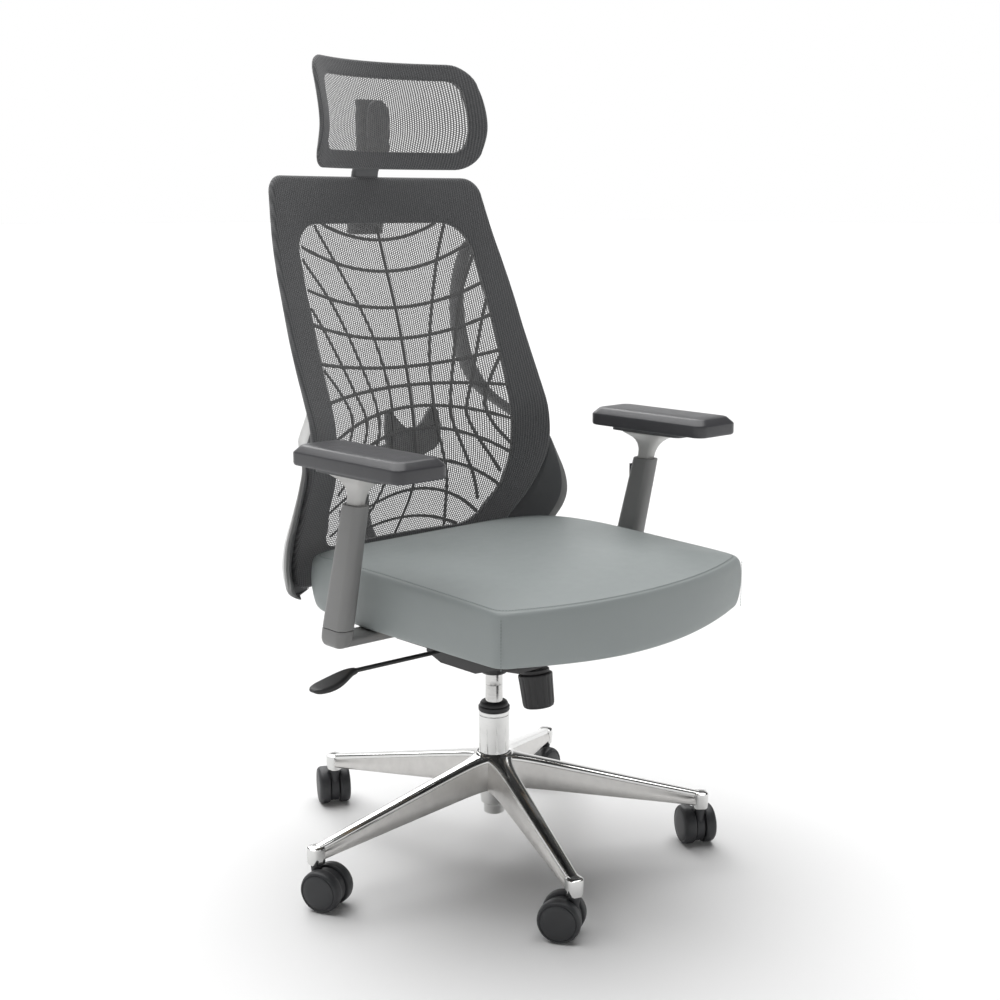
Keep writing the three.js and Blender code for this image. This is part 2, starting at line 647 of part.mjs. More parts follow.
function addArms() {
  addPair('arm_bracket', armBracket(), MATERIALS.greyPlastic);
  addPair('arm_sleeve', armSleeve(), MATERIALS.greyPlastic);
  addPair('arm_post', armPost(), MATERIALS.greyPlastic);
  const rear = sleeveY(600) + 22.5;
  addPair('arm_button', block([ARM_X - 6, rear - 0.6, 588], [ARM_X + 6, rear + 2.6, 612]), MATERIALS.darkPlastic);
  addPair('arm_slide_plate', loft([670 + GAP, PAD.bottom - GAP].map((z) => level(
    roundedRectangle(62, 150, 10), PAD.x, PAD.y + 12, z,
  ))), MATERIALS.darkPlastic);
  addPair('arm_pad', armPad(), MATERIALS.pad);
}

// ---------------------------------------------------------------- back

// Outline of an upright panel as [x, z] pairs, from its bottom middle round to its top middle and back.
function panelOutline({ bottom, top, lowCorner, highCorner, halfWidth, sideSteps }) {
  const lowX = halfWidth(bottom + lowCorner) - lowCorner;
  const highX = halfWidth(top - highCorner) - highCorner;
  const arc = (x, z, radius, from) => [0, 1, 2, 3, 4].map((step) => {
    const angle = from + (step / 4) * (Math.PI / 2);
    return [x + radius * Math.cos(angle), z + radius * Math.sin(angle)];
  });
  const side = Array.from({ length: sideSteps - 1 }, (_, i) => {
    const z = THREE.MathUtils.lerp(bottom + lowCorner, top - highCorner, (i + 1) / sideSteps);
    return [halfWidth(z), z];
  });
  const half = [
    ...[0, 0.33, 0.67].map((u) => [lowX * u, bottom]),
    ...arc(lowX, bottom + lowCorner, lowCorner, -Math.PI / 2),
    ...side,
    ...arc(highX, top - highCorner, highCorner, 0),
    ...[0.67, 0.33, 0].map((u) => [highX * u, top]),
  ];
  const back = half.slice(1, -1).reverse().map(([x, z]) => [-x, z]);
  return [...half, ...back];
}

// A frame between two outlines, whose front follows a surface and whose outer front edge is rounded.
function frameBetween(outer, inner, surface, thickness, innerThickness) {
  return loop(outer.map(([x, z], i) => {
    const [innerX, innerZ] = inner[i];
    const reach = Math.hypot(innerX - x, innerZ - z);
    const [roundX, roundZ] = [x + ((innerX - x) * 4) / reach, z + ((innerZ - z) * 4) / reach];
    return [
      at(x, surface(x, z) + thickness, z), at(x, surface(x, z) + 4, z),
      at(roundX, surface(roundX, roundZ), roundZ), at(innerX, surface(innerX, innerZ), innerZ),
      at(innerX, surface(innerX, innerZ) + innerThickness, innerZ),
    ];
  }));
}

// A thin curved panel inside an outline, built from rows across it.
function curvedPanel(outline, surface, thickness) {
  const columns = [-1, -0.7, -0.35, 0, 0.35, 0.7, 1];
  const rightSide = outline.filter(([x], i) => x > 0 && i < outline.length / 2);
  const heights = new Map(rightSide.map(([x, z]) => [z, x]));
  return loft([...heights].map(([z, halfWidth]) => [
    ...columns.map((u) => at(u * halfWidth, surface(u * halfWidth, z), z)),
    ...columns.toReversed().map((u) => at(u * halfWidth, surface(u * halfWidth, z) + thickness, z)),
  ]));
}

const pulledIn = (outline, distance, middleZ) => outline.map(([x, z]) => [
  x - Math.sign(x) * Math.min(distance, Math.abs(x)), z - Math.sign(z - middleZ) * distance,
]);

const frameOuter = panelOutline({
  bottom: BACK_BOTTOM, top: BACK_TOP, lowCorner: 34, highCorner: 30, halfWidth: backHalfWidth, sideSteps: 15,
});
const frameInner = panelOutline({
  bottom: WINDOW_BOTTOM, top: WINDOW_TOP, lowCorner: 40, highCorner: 66, halfWidth: windowHalfWidth,
  sideSteps: 15,
});

function addBackFrame() {
  const ring = frameBetween(frameOuter, frameInner, backSurface, FRAME_THICKNESS, 9);
  const boss = loft([
    level(roundedRectangle(62, 30, 10), 0, POST_Y.socket, 996),
    level(roundedRectangle(62, 30, 10), 0, POST_Y.socket, 1084),
  ]);
  const socket = loft([1004, 1100].map((z) => level(roundedRectangle(40.8, 14.8, 6), 0, POST_Y.socket, z)));
  add('back_frame', carve([ring, boss], [socket]), MATERIALS.darkPlastic);
  const panel = pulledIn(frameInner, GAP, (WINDOW_BOTTOM + WINDOW_TOP) / 2);
  add('back_mesh', curvedPanel(panel, backSurface, MESH_THICKNESS), MATERIALS.mesh);
}

// The side arm of the exoskeleton: a slim strut that bows back from the frame's top corner, and below it a
// wing that spreads round the frame's edge. Each row is a height and the strut's middle, width and depth.
const STRUTS = [
  [985, 196, 276.5, 18, 20], [964, 190, 282, 19, 26], [935, 180, 285, 20, 28], [897, 172, 284, 20, 28],
  [864, 167, 279, 21, 30], [827, 164, 269, 22, 32], [795, 162, 257, 23, 34], [767, 162, 247, 24, 36],
  [735, 172, 236, 26, 38], [708, 198, 222, 27, 40], [686, 226, 207, 28, 42],
];
const STRUT_SECTION = [
  [-0.3, -0.5], [0.1, -0.5], [0.4, -0.42], [0.5, -0.15], [0.5, 0.25], [0.25, 0.5], [-0.25, 0.5],
  [-0.5, 0.2], [-0.5, -0.25],
];
const wingTipX = smoothCurve([
  [440, 262], [460, 278], [490, 293], [520, 304], [545, 306], [580, 298], [620, 282], [655, 269],
  [665, 268],
]);
const wingTipY = smoothCurve([
  [440, 196], [460, 174], [490, 156], [520, 139], [550, 129], [580, 127], [620, 133], [655, 143],
  [665, 161],
]);
const WING_LEVELS = [665, 655, 638, 620, 600, 580, 560, 540, 520, 500, 480, 462, 448, 440];

function wingSection(z) {
  const edge = backHalfWidth(z);
  const behind = (x, gap) => backSurface(x, z) + FRAME_THICKNESS + gap;
  const [tipX, tipY] = [wingTipX(z), wingTipY(z)];
  const rearX = edge - 22;
  const rearY = behind(rearX, 12);
  return [
    [edge + 1.6, Math.max(backSurface(edge, z) + 4, tipY)], [tipX - 4, tipY], [tipX, tipY + 3], [tipX - 1, tipY + 8],
    [(tipX + rearX) / 2, (tipY + rearY) / 2 + 6], [rearX, rearY], [edge - 48, behind(edge - 48, 12)],
    [edge - 48, behind(edge - 48, 3.5)], [edge + 1.6, behind(edge, 3.5)],
  ].map(([x, y]) => at(x, y, z));
}

function sideArm() {
  const strutRings = STRUTS.map(([z, x, y, width, depth]) =>
    STRUT_SECTION.map(([u, v]) => at(x + u * width, y + v * depth, z)));
  return loft([...strutRings, ...WING_LEVELS.map(wingSection)]);
}

// The yoke behind the seat that joins both side arms to the carrier.
function backBridge(halfLength) {
  const steps = 12;
  return loft(Array.from({ length: steps + 1 }, (_, i) => {
    const x = THREE.MathUtils.lerp(-halfLength, halfLength, i / steps);
    const middle = backSurface(x, 455) + FRAME_THICKNESS + 17;
    return roundedRectangle(29, 36, 10, 2).map(([u, v]) => at(x, middle + u, 454.2 + v));
  }));
}

// The lumbar plate rises into two points either side of a notch, and stands just behind the mesh.
function lumbarPad() {
  const outline = [
    [-20, 633], [20, 633], [44, 641], [57, 654], [59, 680], [56, 704], [48, 714], [38, 706], [24, 690],
    [10, 679], [-10, 679], [-24, 690], [-38, 706], [-48, 714], [-56, 704], [-59, 680], [-57, 654], [-44, 641],
  ];
  const front = outline.map(([x, z]) => at(x, backSurface(x, z) + MESH_THICKNESS + 3, z));
  const rear = front.map((p) => p.clone().add(at(0, 7, 0)));
  const count = outline.length;
  const faces = THREE.ShapeUtils.triangulateShape(outline.map(([x, z]) => new THREE.Vector2(x, z)), []);
  const triangles = strip(0, count, count);
  for (const [a, b, c] of faces) triangles.push(c, b, a, a + count, b + count, c + count);
  return bodyFrom([...front, ...rear], triangles);
}

function lumbarStem() {
  const route = new THREE.CatmullRomCurve3([
    [318, 474], [331, 496], [337, 530], [337, 575], [324, 610], [280, 636], [214, 652],
  ].map(([y, z]) => at(0, y, z)));
  const steps = 18;
  return loft(Array.from({ length: steps + 1 }, (_, i) => {
    const place = route.getPoint(i / steps);
    const along = route.getTangent(i / steps);
    const side = at(0, along.z, -along.y);
    return roundedRectangle(24, 10, 4, 2).map(([u, v]) => place.clone().add(at(u, 0, 0)).addScaledVector(side, v));
  }));
}

function addBack() {
  addBackFrame();
  addPair('side_arm', sideArm(), MATERIALS.greyPlastic);
  add('back_bridge', backBridge(169.6), MATERIALS.greyPlastic);
  add('lumbar_pad', lumbarPad(), MATERIALS.darkPlastic);
  add('lumbar_stem', carve([lumbarStem()], [backBridge(60).translate(0, 0.4, 0.4)]), MATERIALS.darkPlastic);
}

// ---------------------------------------------------------------- headrest

function addNeck() {
  const path = [
    [1005, POST_Y.socket], [1088, POST_Y.socket], [1098, 317], [1110, 311], [1120, 305], [1126, POST_Y.upper],
    [1214, POST_Y.upper],
  ];
  add('neck_post', loft(path.map(([z, y]) => level(roundedRectangle(40, 14, 5.6), 0, y, z))), MATERIALS.darkPlastic);
  const sleeve = loft([1130, 1176].map((z) => level(roundedRectangle(48, 20.4, 7), 0, POST_Y.upper, z)));
  const bore = loft([1120, 1190].map((z) => level(roundedRectangle(40.8, 14.8, 6), 0, POST_Y.upper, z)));
  const { y, z } = HEAD_PIVOT;
  const knuckle = block([-9, y, z - KNUCKLE_RADIUS], [9, y + 7, z + KNUCKLE_RADIUS]);
  add('headrest_bracket', carve([
    sleeve, knuckle, rod(KNUCKLE_RADIUS, at(-9, y, z), at(9, y, z)), rod(2, at(-17, y, z), at(17, y, z), 12),
  ], [bore]), MATERIALS.darkPlastic);
}

const headOuter = panelOutline({
  bottom: HEAD_BOTTOM, top: HEAD_TOP, lowCorner: 26, highCorner: 24, halfWidth: headHalfWidth, sideSteps: 6,
});
const headInner = panelOutline({
  bottom: HEAD_BOTTOM + HEAD_BAND, top: HEAD_TOP - HEAD_BAND, lowCorner: 16, highCorner: 16,
  halfWidth: (z) => headHalfWidth(z) - HEAD_BAND, sideSteps: 6,
});

function addHeadrest() {
  const ring = frameBetween(headOuter, headInner, headSurface, HEAD_THICKNESS, 7);
  const backplate = loft([277.4, 283.4].map((y) => roundedRectangle(44, 103, 21.9, 5)
    .map(([u, v]) => at(u, y, 1161 + v))));
  const { y, z } = HEAD_PIVOT;
  const ears = [-1, 1].flatMap((sign) => [
    rod(KNUCKLE_RADIUS, at(sign * 9.6, y, z), at(sign * 16, y, z)),
    block([sign > 0 ? 9.6 : -16, y - 6, z - KNUCKLE_RADIUS], [sign > 0 ? 16 : -9.6, y, z + KNUCKLE_RADIUS]),
  ]);
  const pinHole = rod(2 + GAP, at(-20, y, z), at(20, y, z), 12);
  add('headrest_frame', carve([ring, backplate, ...ears], [pinHole]), MATERIALS.darkPlastic);
  const panel = pulledIn(headInner, GAP, (HEAD_BOTTOM + HEAD_TOP) / 2);
  add('headrest_mesh', curvedPanel(panel, headSurface, MESH_THICKNESS), MATERIALS.mesh);
}

// ---------------------------------------------------------------- the whole chair

addBase();
addColumn();
addCasters();
addHousing();
addTensionSpring();
addTensionKnob();
addLever();
addCarrier();
addSeatPlate();
addSeat();
addArms();
addBack();
addNeck();
addHeadrest();

const bounds = new THREE.Box3().setFromObject(chair, true);
const middle = bounds.getCenter(at(0, 0, 0));
chair.position.set(-middle.x, -middle.y, -bounds.min.z);

export default chair;
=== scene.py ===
"""High-back mesh office chair: the visible surfaces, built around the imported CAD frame.

Shapes are given in millimetres from the swivel axis and the floor, with the sitter facing -Y.
"""

import json
import math

import bmesh
import bpy
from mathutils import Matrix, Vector


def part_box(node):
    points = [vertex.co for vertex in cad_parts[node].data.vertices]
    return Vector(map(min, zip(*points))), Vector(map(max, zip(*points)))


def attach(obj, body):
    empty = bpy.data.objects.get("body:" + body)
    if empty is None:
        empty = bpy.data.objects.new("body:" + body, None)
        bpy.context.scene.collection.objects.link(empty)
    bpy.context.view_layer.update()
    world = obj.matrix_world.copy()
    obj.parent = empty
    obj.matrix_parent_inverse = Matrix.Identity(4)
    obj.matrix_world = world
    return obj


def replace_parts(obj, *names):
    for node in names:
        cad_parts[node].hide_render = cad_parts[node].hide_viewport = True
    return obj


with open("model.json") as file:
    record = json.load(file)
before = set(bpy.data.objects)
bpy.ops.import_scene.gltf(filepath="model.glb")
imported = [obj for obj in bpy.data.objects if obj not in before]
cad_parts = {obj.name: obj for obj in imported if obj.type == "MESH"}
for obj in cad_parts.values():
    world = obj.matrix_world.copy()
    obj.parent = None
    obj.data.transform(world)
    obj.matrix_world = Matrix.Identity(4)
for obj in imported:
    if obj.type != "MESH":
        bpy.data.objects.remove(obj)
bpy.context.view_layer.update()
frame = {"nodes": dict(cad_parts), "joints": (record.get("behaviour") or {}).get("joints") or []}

MM = 0.001
GAS_LOW, GAS_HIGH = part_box("gas_cylinder")
AXIS = (GAS_LOW + GAS_HIGH) / 2
JOINTS = {joint["name"]: joint for joint in frame["joints"]}
SIDES = (("left", 1), ("right", -1))


def place(x, y, z):
    """A point in millimetres from the swivel axis and the floor, as metres in the shared frame."""
    return Vector((AXIS.x + x * MM, AXIS.y + y * MM, z * MM))


def lerp(a, b, t):
    return a + (b - a) * t


def smooth_curve(knots):
    """A smooth function through (position, value) knots in rising order, flat beyond its ends."""
    last = len(knots) - 1

    def slope(k):
        before, after = knots[max(k - 1, 0)], knots[min(k + 1, last)]
        return (after[1] - before[1]) / (after[0] - before[0])

    def value(at):
        t = min(max(at, knots[0][0]), knots[last][0])
        k = 0
        while k < last - 1 and t > knots[k + 1][0]:
            k += 1
        span = knots[k + 1][0] - knots[k][0]
        u = (t - knots[k][0]) / span
        rise = (3 - 2 * u) * u * u
        ease = u * (1 - u) * span
        return lerp(knots[k][1], knots[k + 1][1], rise) + ease * ((1 - u) * slope(k) - u * slope(k + 1))

    return value


# ---------------------------------------------------------------- materials


class Nodes:
    """A material's node tree, with short ways to add to it."""

    def __init__(self, name):
        self.material = bpy.data.materials.new(name)
        self.material.use_nodes = True
        self.tree = self.material.node_tree
        self.shader = self.tree.nodes["Principled BSDF"]
        self.coordinates = self.add("ShaderNodeTexCoord").outputs["Object"]

    def add(self, kind, **settings):
        node = self.tree.nodes.new(kind)
        for key, value in settings.items():
            setattr(node, key, value)
        return node

    def link(self, source, target):
        self.tree.links.new(source, target)

    def set(self, **values):
        for key, value in values.items():
            self.shader.inputs[key.replace("_", " ")].default_value = value

    def math(self, operation, *inputs):
        node = self.add("ShaderNodeMath", operation=operation)
        for k, value in enumerate(inputs):
            if isinstance(value, (int, float)):
                node.inputs[k].default_value = value
            else:
                self.link(value, node.inputs[k])
        return node.outputs[0]

    def scaled(self, x, y, z):
        node = self.add("ShaderNodeMapping")
        node.inputs["Scale"].default_value = (x, y, z)
        self.link(self.coordinates, node.inputs["Vector"])
        return node.outputs[0]

    def noise(self, vector, scale, detail=4):
        node = self.add("ShaderNodeTexNoise")
        node.inputs["Scale"].default_value = scale
        node.inputs["Detail"].default_value = detail
        self.link(vector, node.inputs["Vector"])
        return node.outputs[0]

    def spread(self, value, low, high):
        """Maps 0..1 to low..high."""
        node = self.add("ShaderNodeMapRange")
        node.inputs["To Min"].default_value = low
        node.inputs["To Max"].default_value = high
        self.link(value, node.inputs["Value"])
        return node.outputs[0]

    def mix(self, factor, dark, light):
        node = self.add("ShaderNodeMix", data_type="RGBA")
        self.link(factor, node.inputs[0])
        node.inputs[6].default_value = (*dark, 1)
        node.inputs[7].default_value = (*light, 1)
        return node.outputs[2]

    def bump(self, height, distance, strength=1.0):
        node = self.add("ShaderNodeBump")
        node.inputs["Distance"].default_value = distance
        node.inputs["Strength"].default_value = strength
        self.link(height, node.inputs["Height"])
        self.link(node.outputs[0], self.shader.inputs["Normal"])

    def colour(self, value):
        self.link(value, self.shader.inputs["Base Color"])

    def roughness(self, value):
        self.link(value, self.shader.inputs["Roughness"])


def moulded(name, dark, light, rough, grain=1400, depth=0.00006):
    """Moulded plastic: fine sparkle texture, faint blotches and uneven gloss."""
    n = Nodes(name)
    n.colour(n.mix(n.noise(n.coordinates, 9), dark, light))
    n.roughness(n.spread(n.noise(n.coordinates, 40), rough - 0.07, rough + 0.07))
    n.bump(n.noise(n.coordinates, grain, 2), depth)
    return n.material


def metal(name, dark, light, rough, stretch, streak_depth):
    """Metal with fine marks drawn out along one direction: stretch squeezes the pattern across it."""
    n = Nodes(name)
    streaks = n.noise(n.scaled(*stretch), 60, 6)
    n.colour(n.mix(streaks, dark, light))
    n.roughness(n.spread(streaks, rough * 0.75, rough * 1.25))
    n.set(Metallic=1.0)
    n.bump(streaks, streak_depth)
    return n.material


def leather(name, dark, light):
    """Smooth coated leather: a fine pebble of cells between creases, with a soft sheen."""
    n = Nodes(name)
    cells = n.add("ShaderNodeTexVoronoi", feature="DISTANCE_TO_EDGE")
    cells.inputs["Scale"].default_value = 520
    n.link(n.coordinates, cells.inputs["Vector"])
    pebble = n.math("MINIMUM", n.math("MULTIPLY", cells.outputs["Distance"], 6.0), 1.0)
    creases = n.noise(n.coordinates, 55)
    n.colour(n.mix(n.noise(n.coordinates, 6, 5), dark, light))
    n.roughness(n.spread(creases, 0.4, 0.56))
    n.set(Coat_Weight=0.06, Coat_Roughness=0.35, Specular_IOR_Level=0.45)
    n.bump(n.math("ADD", n.math("MULTIPLY", pebble, 0.6), n.math("MULTIPLY", creases, 0.8)), 0.00016)
    return n.material


NET_WALE = 4.3 * MM  # spacing of the net's upright cords
NET_COURSE = 3.3 * MM  # spacing of the threads across them


def thread_wave(n, value, spacing):
    """0 in the middle of a thread to 0.5 halfway between threads."""
    turns = n.math("MULTIPLY", value, 1 / spacing)
    return n.math("ABSOLUTE", n.math("SUBTRACT", n.math("FRACT", turns), 0.5))


def knit(n):
    """How far a point is from an upright cord and from a cross thread, slightly uneven as in a real net."""
    wobble = n.math("MULTIPLY", n.math("SUBTRACT", n.noise(n.coordinates, 70, 2), 0.5), 1.6 * MM)
    axes = n.add("ShaderNodeSeparateXYZ")
    n.link(n.coordinates, axes.inputs[0])
    wale = thread_wave(n, n.math("ADD", axes.outputs["X"], wobble), NET_WALE)
    shifted = n.math("ADD", axes.outputs["Z"], n.math("MULTIPLY", axes.outputs["X"], 0.36))
    course = thread_wave(n, n.math("ADD", shifted, wobble), NET_COURSE)
    return wale, course


def net(name, dark, light, openness):
    """See-through knitted net: upright cords and thinner cross threads with holes between."""
    n = Nodes(name)
    wale, course = knit(n)
    cord = n.math("SUBTRACT", 0.5, wale)
    cross = n.math("SUBTRACT", 0.42, course)
    nearest = n.math("MAXIMUM", n.math("SUBTRACT", cord, openness), n.math("SUBTRACT", cross, openness))
    solid = n.math("MULTIPLY", nearest, 9.0)
    clipped = n.math("MINIMUM", n.math("MAXIMUM", n.math("ADD", solid, 0.5), 0.0), 1.0)
    n.link(clipped, n.shader.inputs["Alpha"])
    n.colour(n.mix(n.noise(n.coordinates, 160, 3), dark, light))
    n.set(Roughness=0.75, Sheen_Weight=0.15, Sheen_Roughness=0.5)
    n.bump(cord, 0.0006)
    return n.material


def wrapped_net(name, dark, light):
    """The same net lying on something solid, with no holes: its ribs are coloured lighter as painted
    highlight and its furrows darker as painted shade.
    """
    n = Nodes(name)
    wale, course = knit(n)
    ridge = n.math("SUBTRACT", 1.0, n.math("MULTIPLY", wale, 2.0))
    weave = n.math("ADD", n.math("MULTIPLY", ridge, 0.7), n.math("MULTIPLY", course, 0.6))
    # Colour follows the weave's height: painted highlight on the ribs and painted shade in the furrows,
    # broken up by random blotches.
    painted_rib_light_and_blotches = n.math("MULTIPLY", weave, n.spread(n.noise(n.coordinates, 220, 3), 0.75, 1.2))
    n.colour(n.mix(painted_rib_light_and_blotches, dark, light))
    n.set(Roughness=0.82, Sheen_Weight=0.25, Sheen_Roughness=0.45)
    n.bump(weave, 0.0008)
    return n.material


def knobbly_rubber(name, dark, light):
    """Soft-touch arm pad skin: a faint grain with a broad dull sheen."""
    n = Nodes(name)
    n.colour(n.mix(n.noise(n.coordinates, 14), dark, light))
    n.roughness(n.spread(n.noise(n.coordinates, 90), 0.3, 0.42))
    n.bump(n.noise(n.coordinates, 900, 3), 0.00012)
    return n.material


POLISHED = metal("polished_aluminium", (0.62, 0.62, 0.61), (0.74, 0.74, 0.73), 0.1, (1, 1, 1), 0.00002)
CAST = metal("satin_cast_aluminium", (0.5, 0.49, 0.48), (0.68, 0.67, 0.65), 0.36, (1, 1, 1), 0.00015)
STEEL = metal("ground_steel", (0.5, 0.5, 0.49), (0.72, 0.71, 0.7), 0.24, (1, 1, 14), 0.00003)
PRESSED = moulded("black_pressed_steel", (0.016, 0.016, 0.017), (0.027, 0.027, 0.028), 0.42, 600, 0.0001)
BLACK = moulded("black_plastic", (0.014, 0.014, 0.015), (0.024, 0.024, 0.025), 0.48)
NYLON = moulded("caster_nylon", (0.02, 0.021, 0.023), (0.034, 0.035, 0.038), 0.46, 900, 0.0001)
GREY = moulded("grey_plastic", (0.17, 0.17, 0.168), (0.205, 0.205, 0.202), 0.42)
PALE = moulded("pale_grey_plastic", (0.42, 0.415, 0.405), (0.47, 0.465, 0.455), 0.36)
DARK = moulded("dark_grey_plastic", (0.07, 0.072, 0.075), (0.1, 0.102, 0.105), 0.5)
SHELL = moulded("pale_shell_plastic", (0.55, 0.55, 0.545), (0.62, 0.62, 0.61), 0.4)
LEATHER = leather("seat_leather", (0.245, 0.271, 0.269), (0.28, 0.306, 0.304))
THREAD = moulded("seat_thread", (0.17, 0.195, 0.19), (0.22, 0.25, 0.245), 0.7)
PAD_SKIN = knobbly_rubber("arm_pad_skin", (0.038, 0.038, 0.042), (0.058, 0.058, 0.063))
NET = net("back_net", (0.1, 0.1, 0.102), (0.2, 0.2, 0.2), 0.235)
# The lighter tone of these two nets is painted highlight on the ribs, and the darker tone is painted shade in
# the furrows.
WEB = wrapped_net("web_line", (0.06, 0.06, 0.061), (0.13, 0.13, 0.13))
BAND = wrapped_net("wrapped_net", (0.04, 0.041, 0.043), (0.13, 0.131, 0.135))
WOOD = moulded("plywood", (0.42, 0.3, 0.18), (0.52, 0.39, 0.25), 0.6, 300, 0.0002)

# ---------------------------------------------------------------- mesh helpers


def piece(name, points, faces, material, body):
    """A smooth-shaded mesh with its normals out and its sharp edges kept, riding on a body."""
    mesh = bpy.data.meshes.new(name)
    mesh.from_pydata(points, [], faces)
    editable = bmesh.new()
    editable.from_mesh(mesh)
    bmesh.ops.remove_doubles(editable, verts=editable.verts, dist=1e-6)
    bmesh.ops.recalc_face_normals(editable, faces=editable.faces)
    editable.to_mesh(mesh)
    editable.free()
    mesh.polygons.foreach_set("use_smooth", [True] * len(mesh.polygons))
    mesh.set_sharp_from_angle(angle=math.radians(38))
    mesh.materials.append(material)
    obj = bpy.data.objects.new(name, mesh)
    bpy.context.scene.collection.objects.link(obj)
    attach(obj, body)
    return obj


def ring_faces(count, rings, looped, capped, first=0):
    faces = []
    for r in range(rings if looped else rings - 1):
        for i in range(count):
            a, b = first + r * count, first + ((r + 1) % rings) * count
            faces.append((a + i, a + (i + 1) % count, b + (i + 1) % count, b + i))
    if capped:
        last = first + (rings - 1) * count
        faces.append(tuple(range(first, first + count)))
        faces.append(tuple(range(last, last + count)))
    return faces


def loft(name, rings, material, body, looped=False, capped=True):
    """A skin through rings of points given in millimetres."""
    points = [place(*p) for ring in rings for p in ring]
    faces = ring_faces(len(rings[0]), len(rings), looped, capped and not looped)
    return piece(name, points, faces, material, body)


def join(name, parts):
    """Makes one object of several, keeping each one's materials."""
    with bpy.context.temp_override(active_object=parts[0], selected_editable_objects=parts):
        bpy.ops.object.join()
    parts[0].name = name
    return parts[0]


def round_edges(obj, width, segments=3, angle=30):
    bevel = obj.modifiers.new("round_edges", "BEVEL")
    bevel.width = width * MM
    bevel.segments = segments
    bevel.limit_method = "ANGLE"
    bevel.angle_limit = math.radians(angle)
    bevel.harden_normals = True
    return obj


def subdivide(obj, levels=2):
    surface = obj.modifiers.new("surface", "SUBSURF")
    surface.levels = surface.render_levels = levels
    return obj


def rounded(width, depth, radius, per_corner=6):
    """A rounded rectangle, anticlockwise, as (across, along) pairs."""
    points = []
    for quarter, (side_x, side_y) in enumerate(((1, 1), (-1, 1), (-1, -1), (1, -1))):
        for step in range(per_corner + 1):
            angle = (quarter + step / per_corner) * math.pi / 2
            points.append((
                side_x * (width / 2 - radius) + radius * math.cos(angle),
                side_y * (depth / 2 - radius) + radius * math.sin(angle),
            ))
    return points


def level(outline, x, y, z):
    return [(x + u, y + v, z) for u, v in outline]


def turned(name, profile, material, body, sides=72):
    """A profile of (radius, z) pairs turned about the swivel axis; both ends are on the axis or meet."""
    angles = [2 * math.pi * k / sides for k in range(sides)]
    rings = [[(r * math.cos(angle), r * math.sin(angle), z) for angle in angles] for r, z in profile]
    return loft(name, rings, material, body, capped=False)


def turned_on(name, profile, centre, direction, material, body, sides=72):
    """A profile of (radius, distance) pairs in millimetres turned about a line through centre, in metres."""
    turn = direction.to_track_quat("Z", "X").to_matrix()
    points = []
    for radius, along in profile:
        for k in range(sides):
            angle = 2 * math.pi * k / sides
            local = Vector((radius * math.cos(angle), radius * math.sin(angle), along)) * MM
            points.append(centre + turn @ local)
    return piece(name, points, ring_faces(sides, len(profile), False, False), material, body)


def paint_cad(material, *nodes):
    for node in nodes:
        mesh = frame["nodes"][node].data
        mesh.materials.clear()
        mesh.materials.append(material)


# ---------------------------------------------------------------- base, column and casters

BASE_RADIUS = 340
BASE_ARMS = 5
ARM_START = 22  # distance from the axis at which an arm leaves the hub
ARM_FILLET = 16  # how quickly an arm narrows from the hub
UNDERSIDE = 6  # first face of an arm's outline that is cast and not polished
STEMS = [Vector(JOINTS[f"caster_swivel_{k + 1}"]["pos_m"]) for k in range(BASE_ARMS)]
TIP_LEVELS = (  # height, size of the socket there
    (67, 21), (67.4, 23.6), (69, 24.6), (80, 25.4), (89, 25.6), (92.4, 24.6), (94, 21), (94.4, 12),
)


def arm_section(r):
    """Half of an arm's outline at a distance from the axis, from its crown to the middle of its underside."""
    u = (r - ARM_START) / (BASE_RADIUS - ARM_START)
    near_hub = math.exp(-(r - ARM_START) / ARM_FILLET)
    top = lerp(168, 93.5, u)
    bottom = lerp(113, 72, u)
    cap = lerp(14, 8.8, u) + 11 * near_hub
    belly = lerp(18, 11, u) + 9 * near_hub
    low = bottom + 0.16 * (top - bottom)
    return [
        (0, top + 0.8), (cap * 0.55, top + 0.5), (cap * 0.85, top - 0.6), (cap * 0.97, top - 2.2),
        (cap, top - 4.2), (cap, top - 6.4), (cap - 0.9, top - 7.4), (cap - 0.7, top - 9),
        (lerp(cap, belly, 0.5), lerp(top, low, 0.55)), (belly, low), (belly * 0.94, bottom + 2),
        (belly * 0.7, bottom), (0, bottom),
    ]


def arm_heading(k):
    return math.atan2(STEMS[k].y - AXIS.y, STEMS[k].x - AXIS.x)


def on_arm(heading, along, across, z):
    """A point some way out along an arm's heading and some way across it."""
    return (
        along * math.cos(heading) - across * math.sin(heading),
        along * math.sin(heading) + across * math.cos(heading),
        z,
    )


def base_arm(k):
    heading = arm_heading(k)
    rings = []
    for step in range(22):
        r = lerp(ARM_START, BASE_RADIUS - 2, (step / 21) ** 1.35)
        half = arm_section(r)
        outline = half + [(-y, z) for y, z in reversed(half[1:-1])]
        rings.append([on_arm(heading, r, y, z) for y, z in outline])
    arm = loft(f"base_arm_{k + 1}", rings, POLISHED, "base")
    arm.data.materials.append(CAST)
    count = len(rings[0])
    for face in arm.data.polygons[:count * (len(rings) - 1)]:
        across = face.index % count
        if UNDERSIDE <= across < count - UNDERSIDE:
            face.material_index = 1
    return arm


def arm_tip(k):
    """The rounded socket that holds a caster's stem."""
    heading = arm_heading(k)
    rings = []
    for z, size in TIP_LEVELS:
        outline = rounded(size, size, size * 0.36)
        rings.append([on_arm(heading, BASE_RADIUS + u, v, z) for u, v in outline])
    return loft(f"arm_tip_{k + 1}", rings, POLISHED, "base")


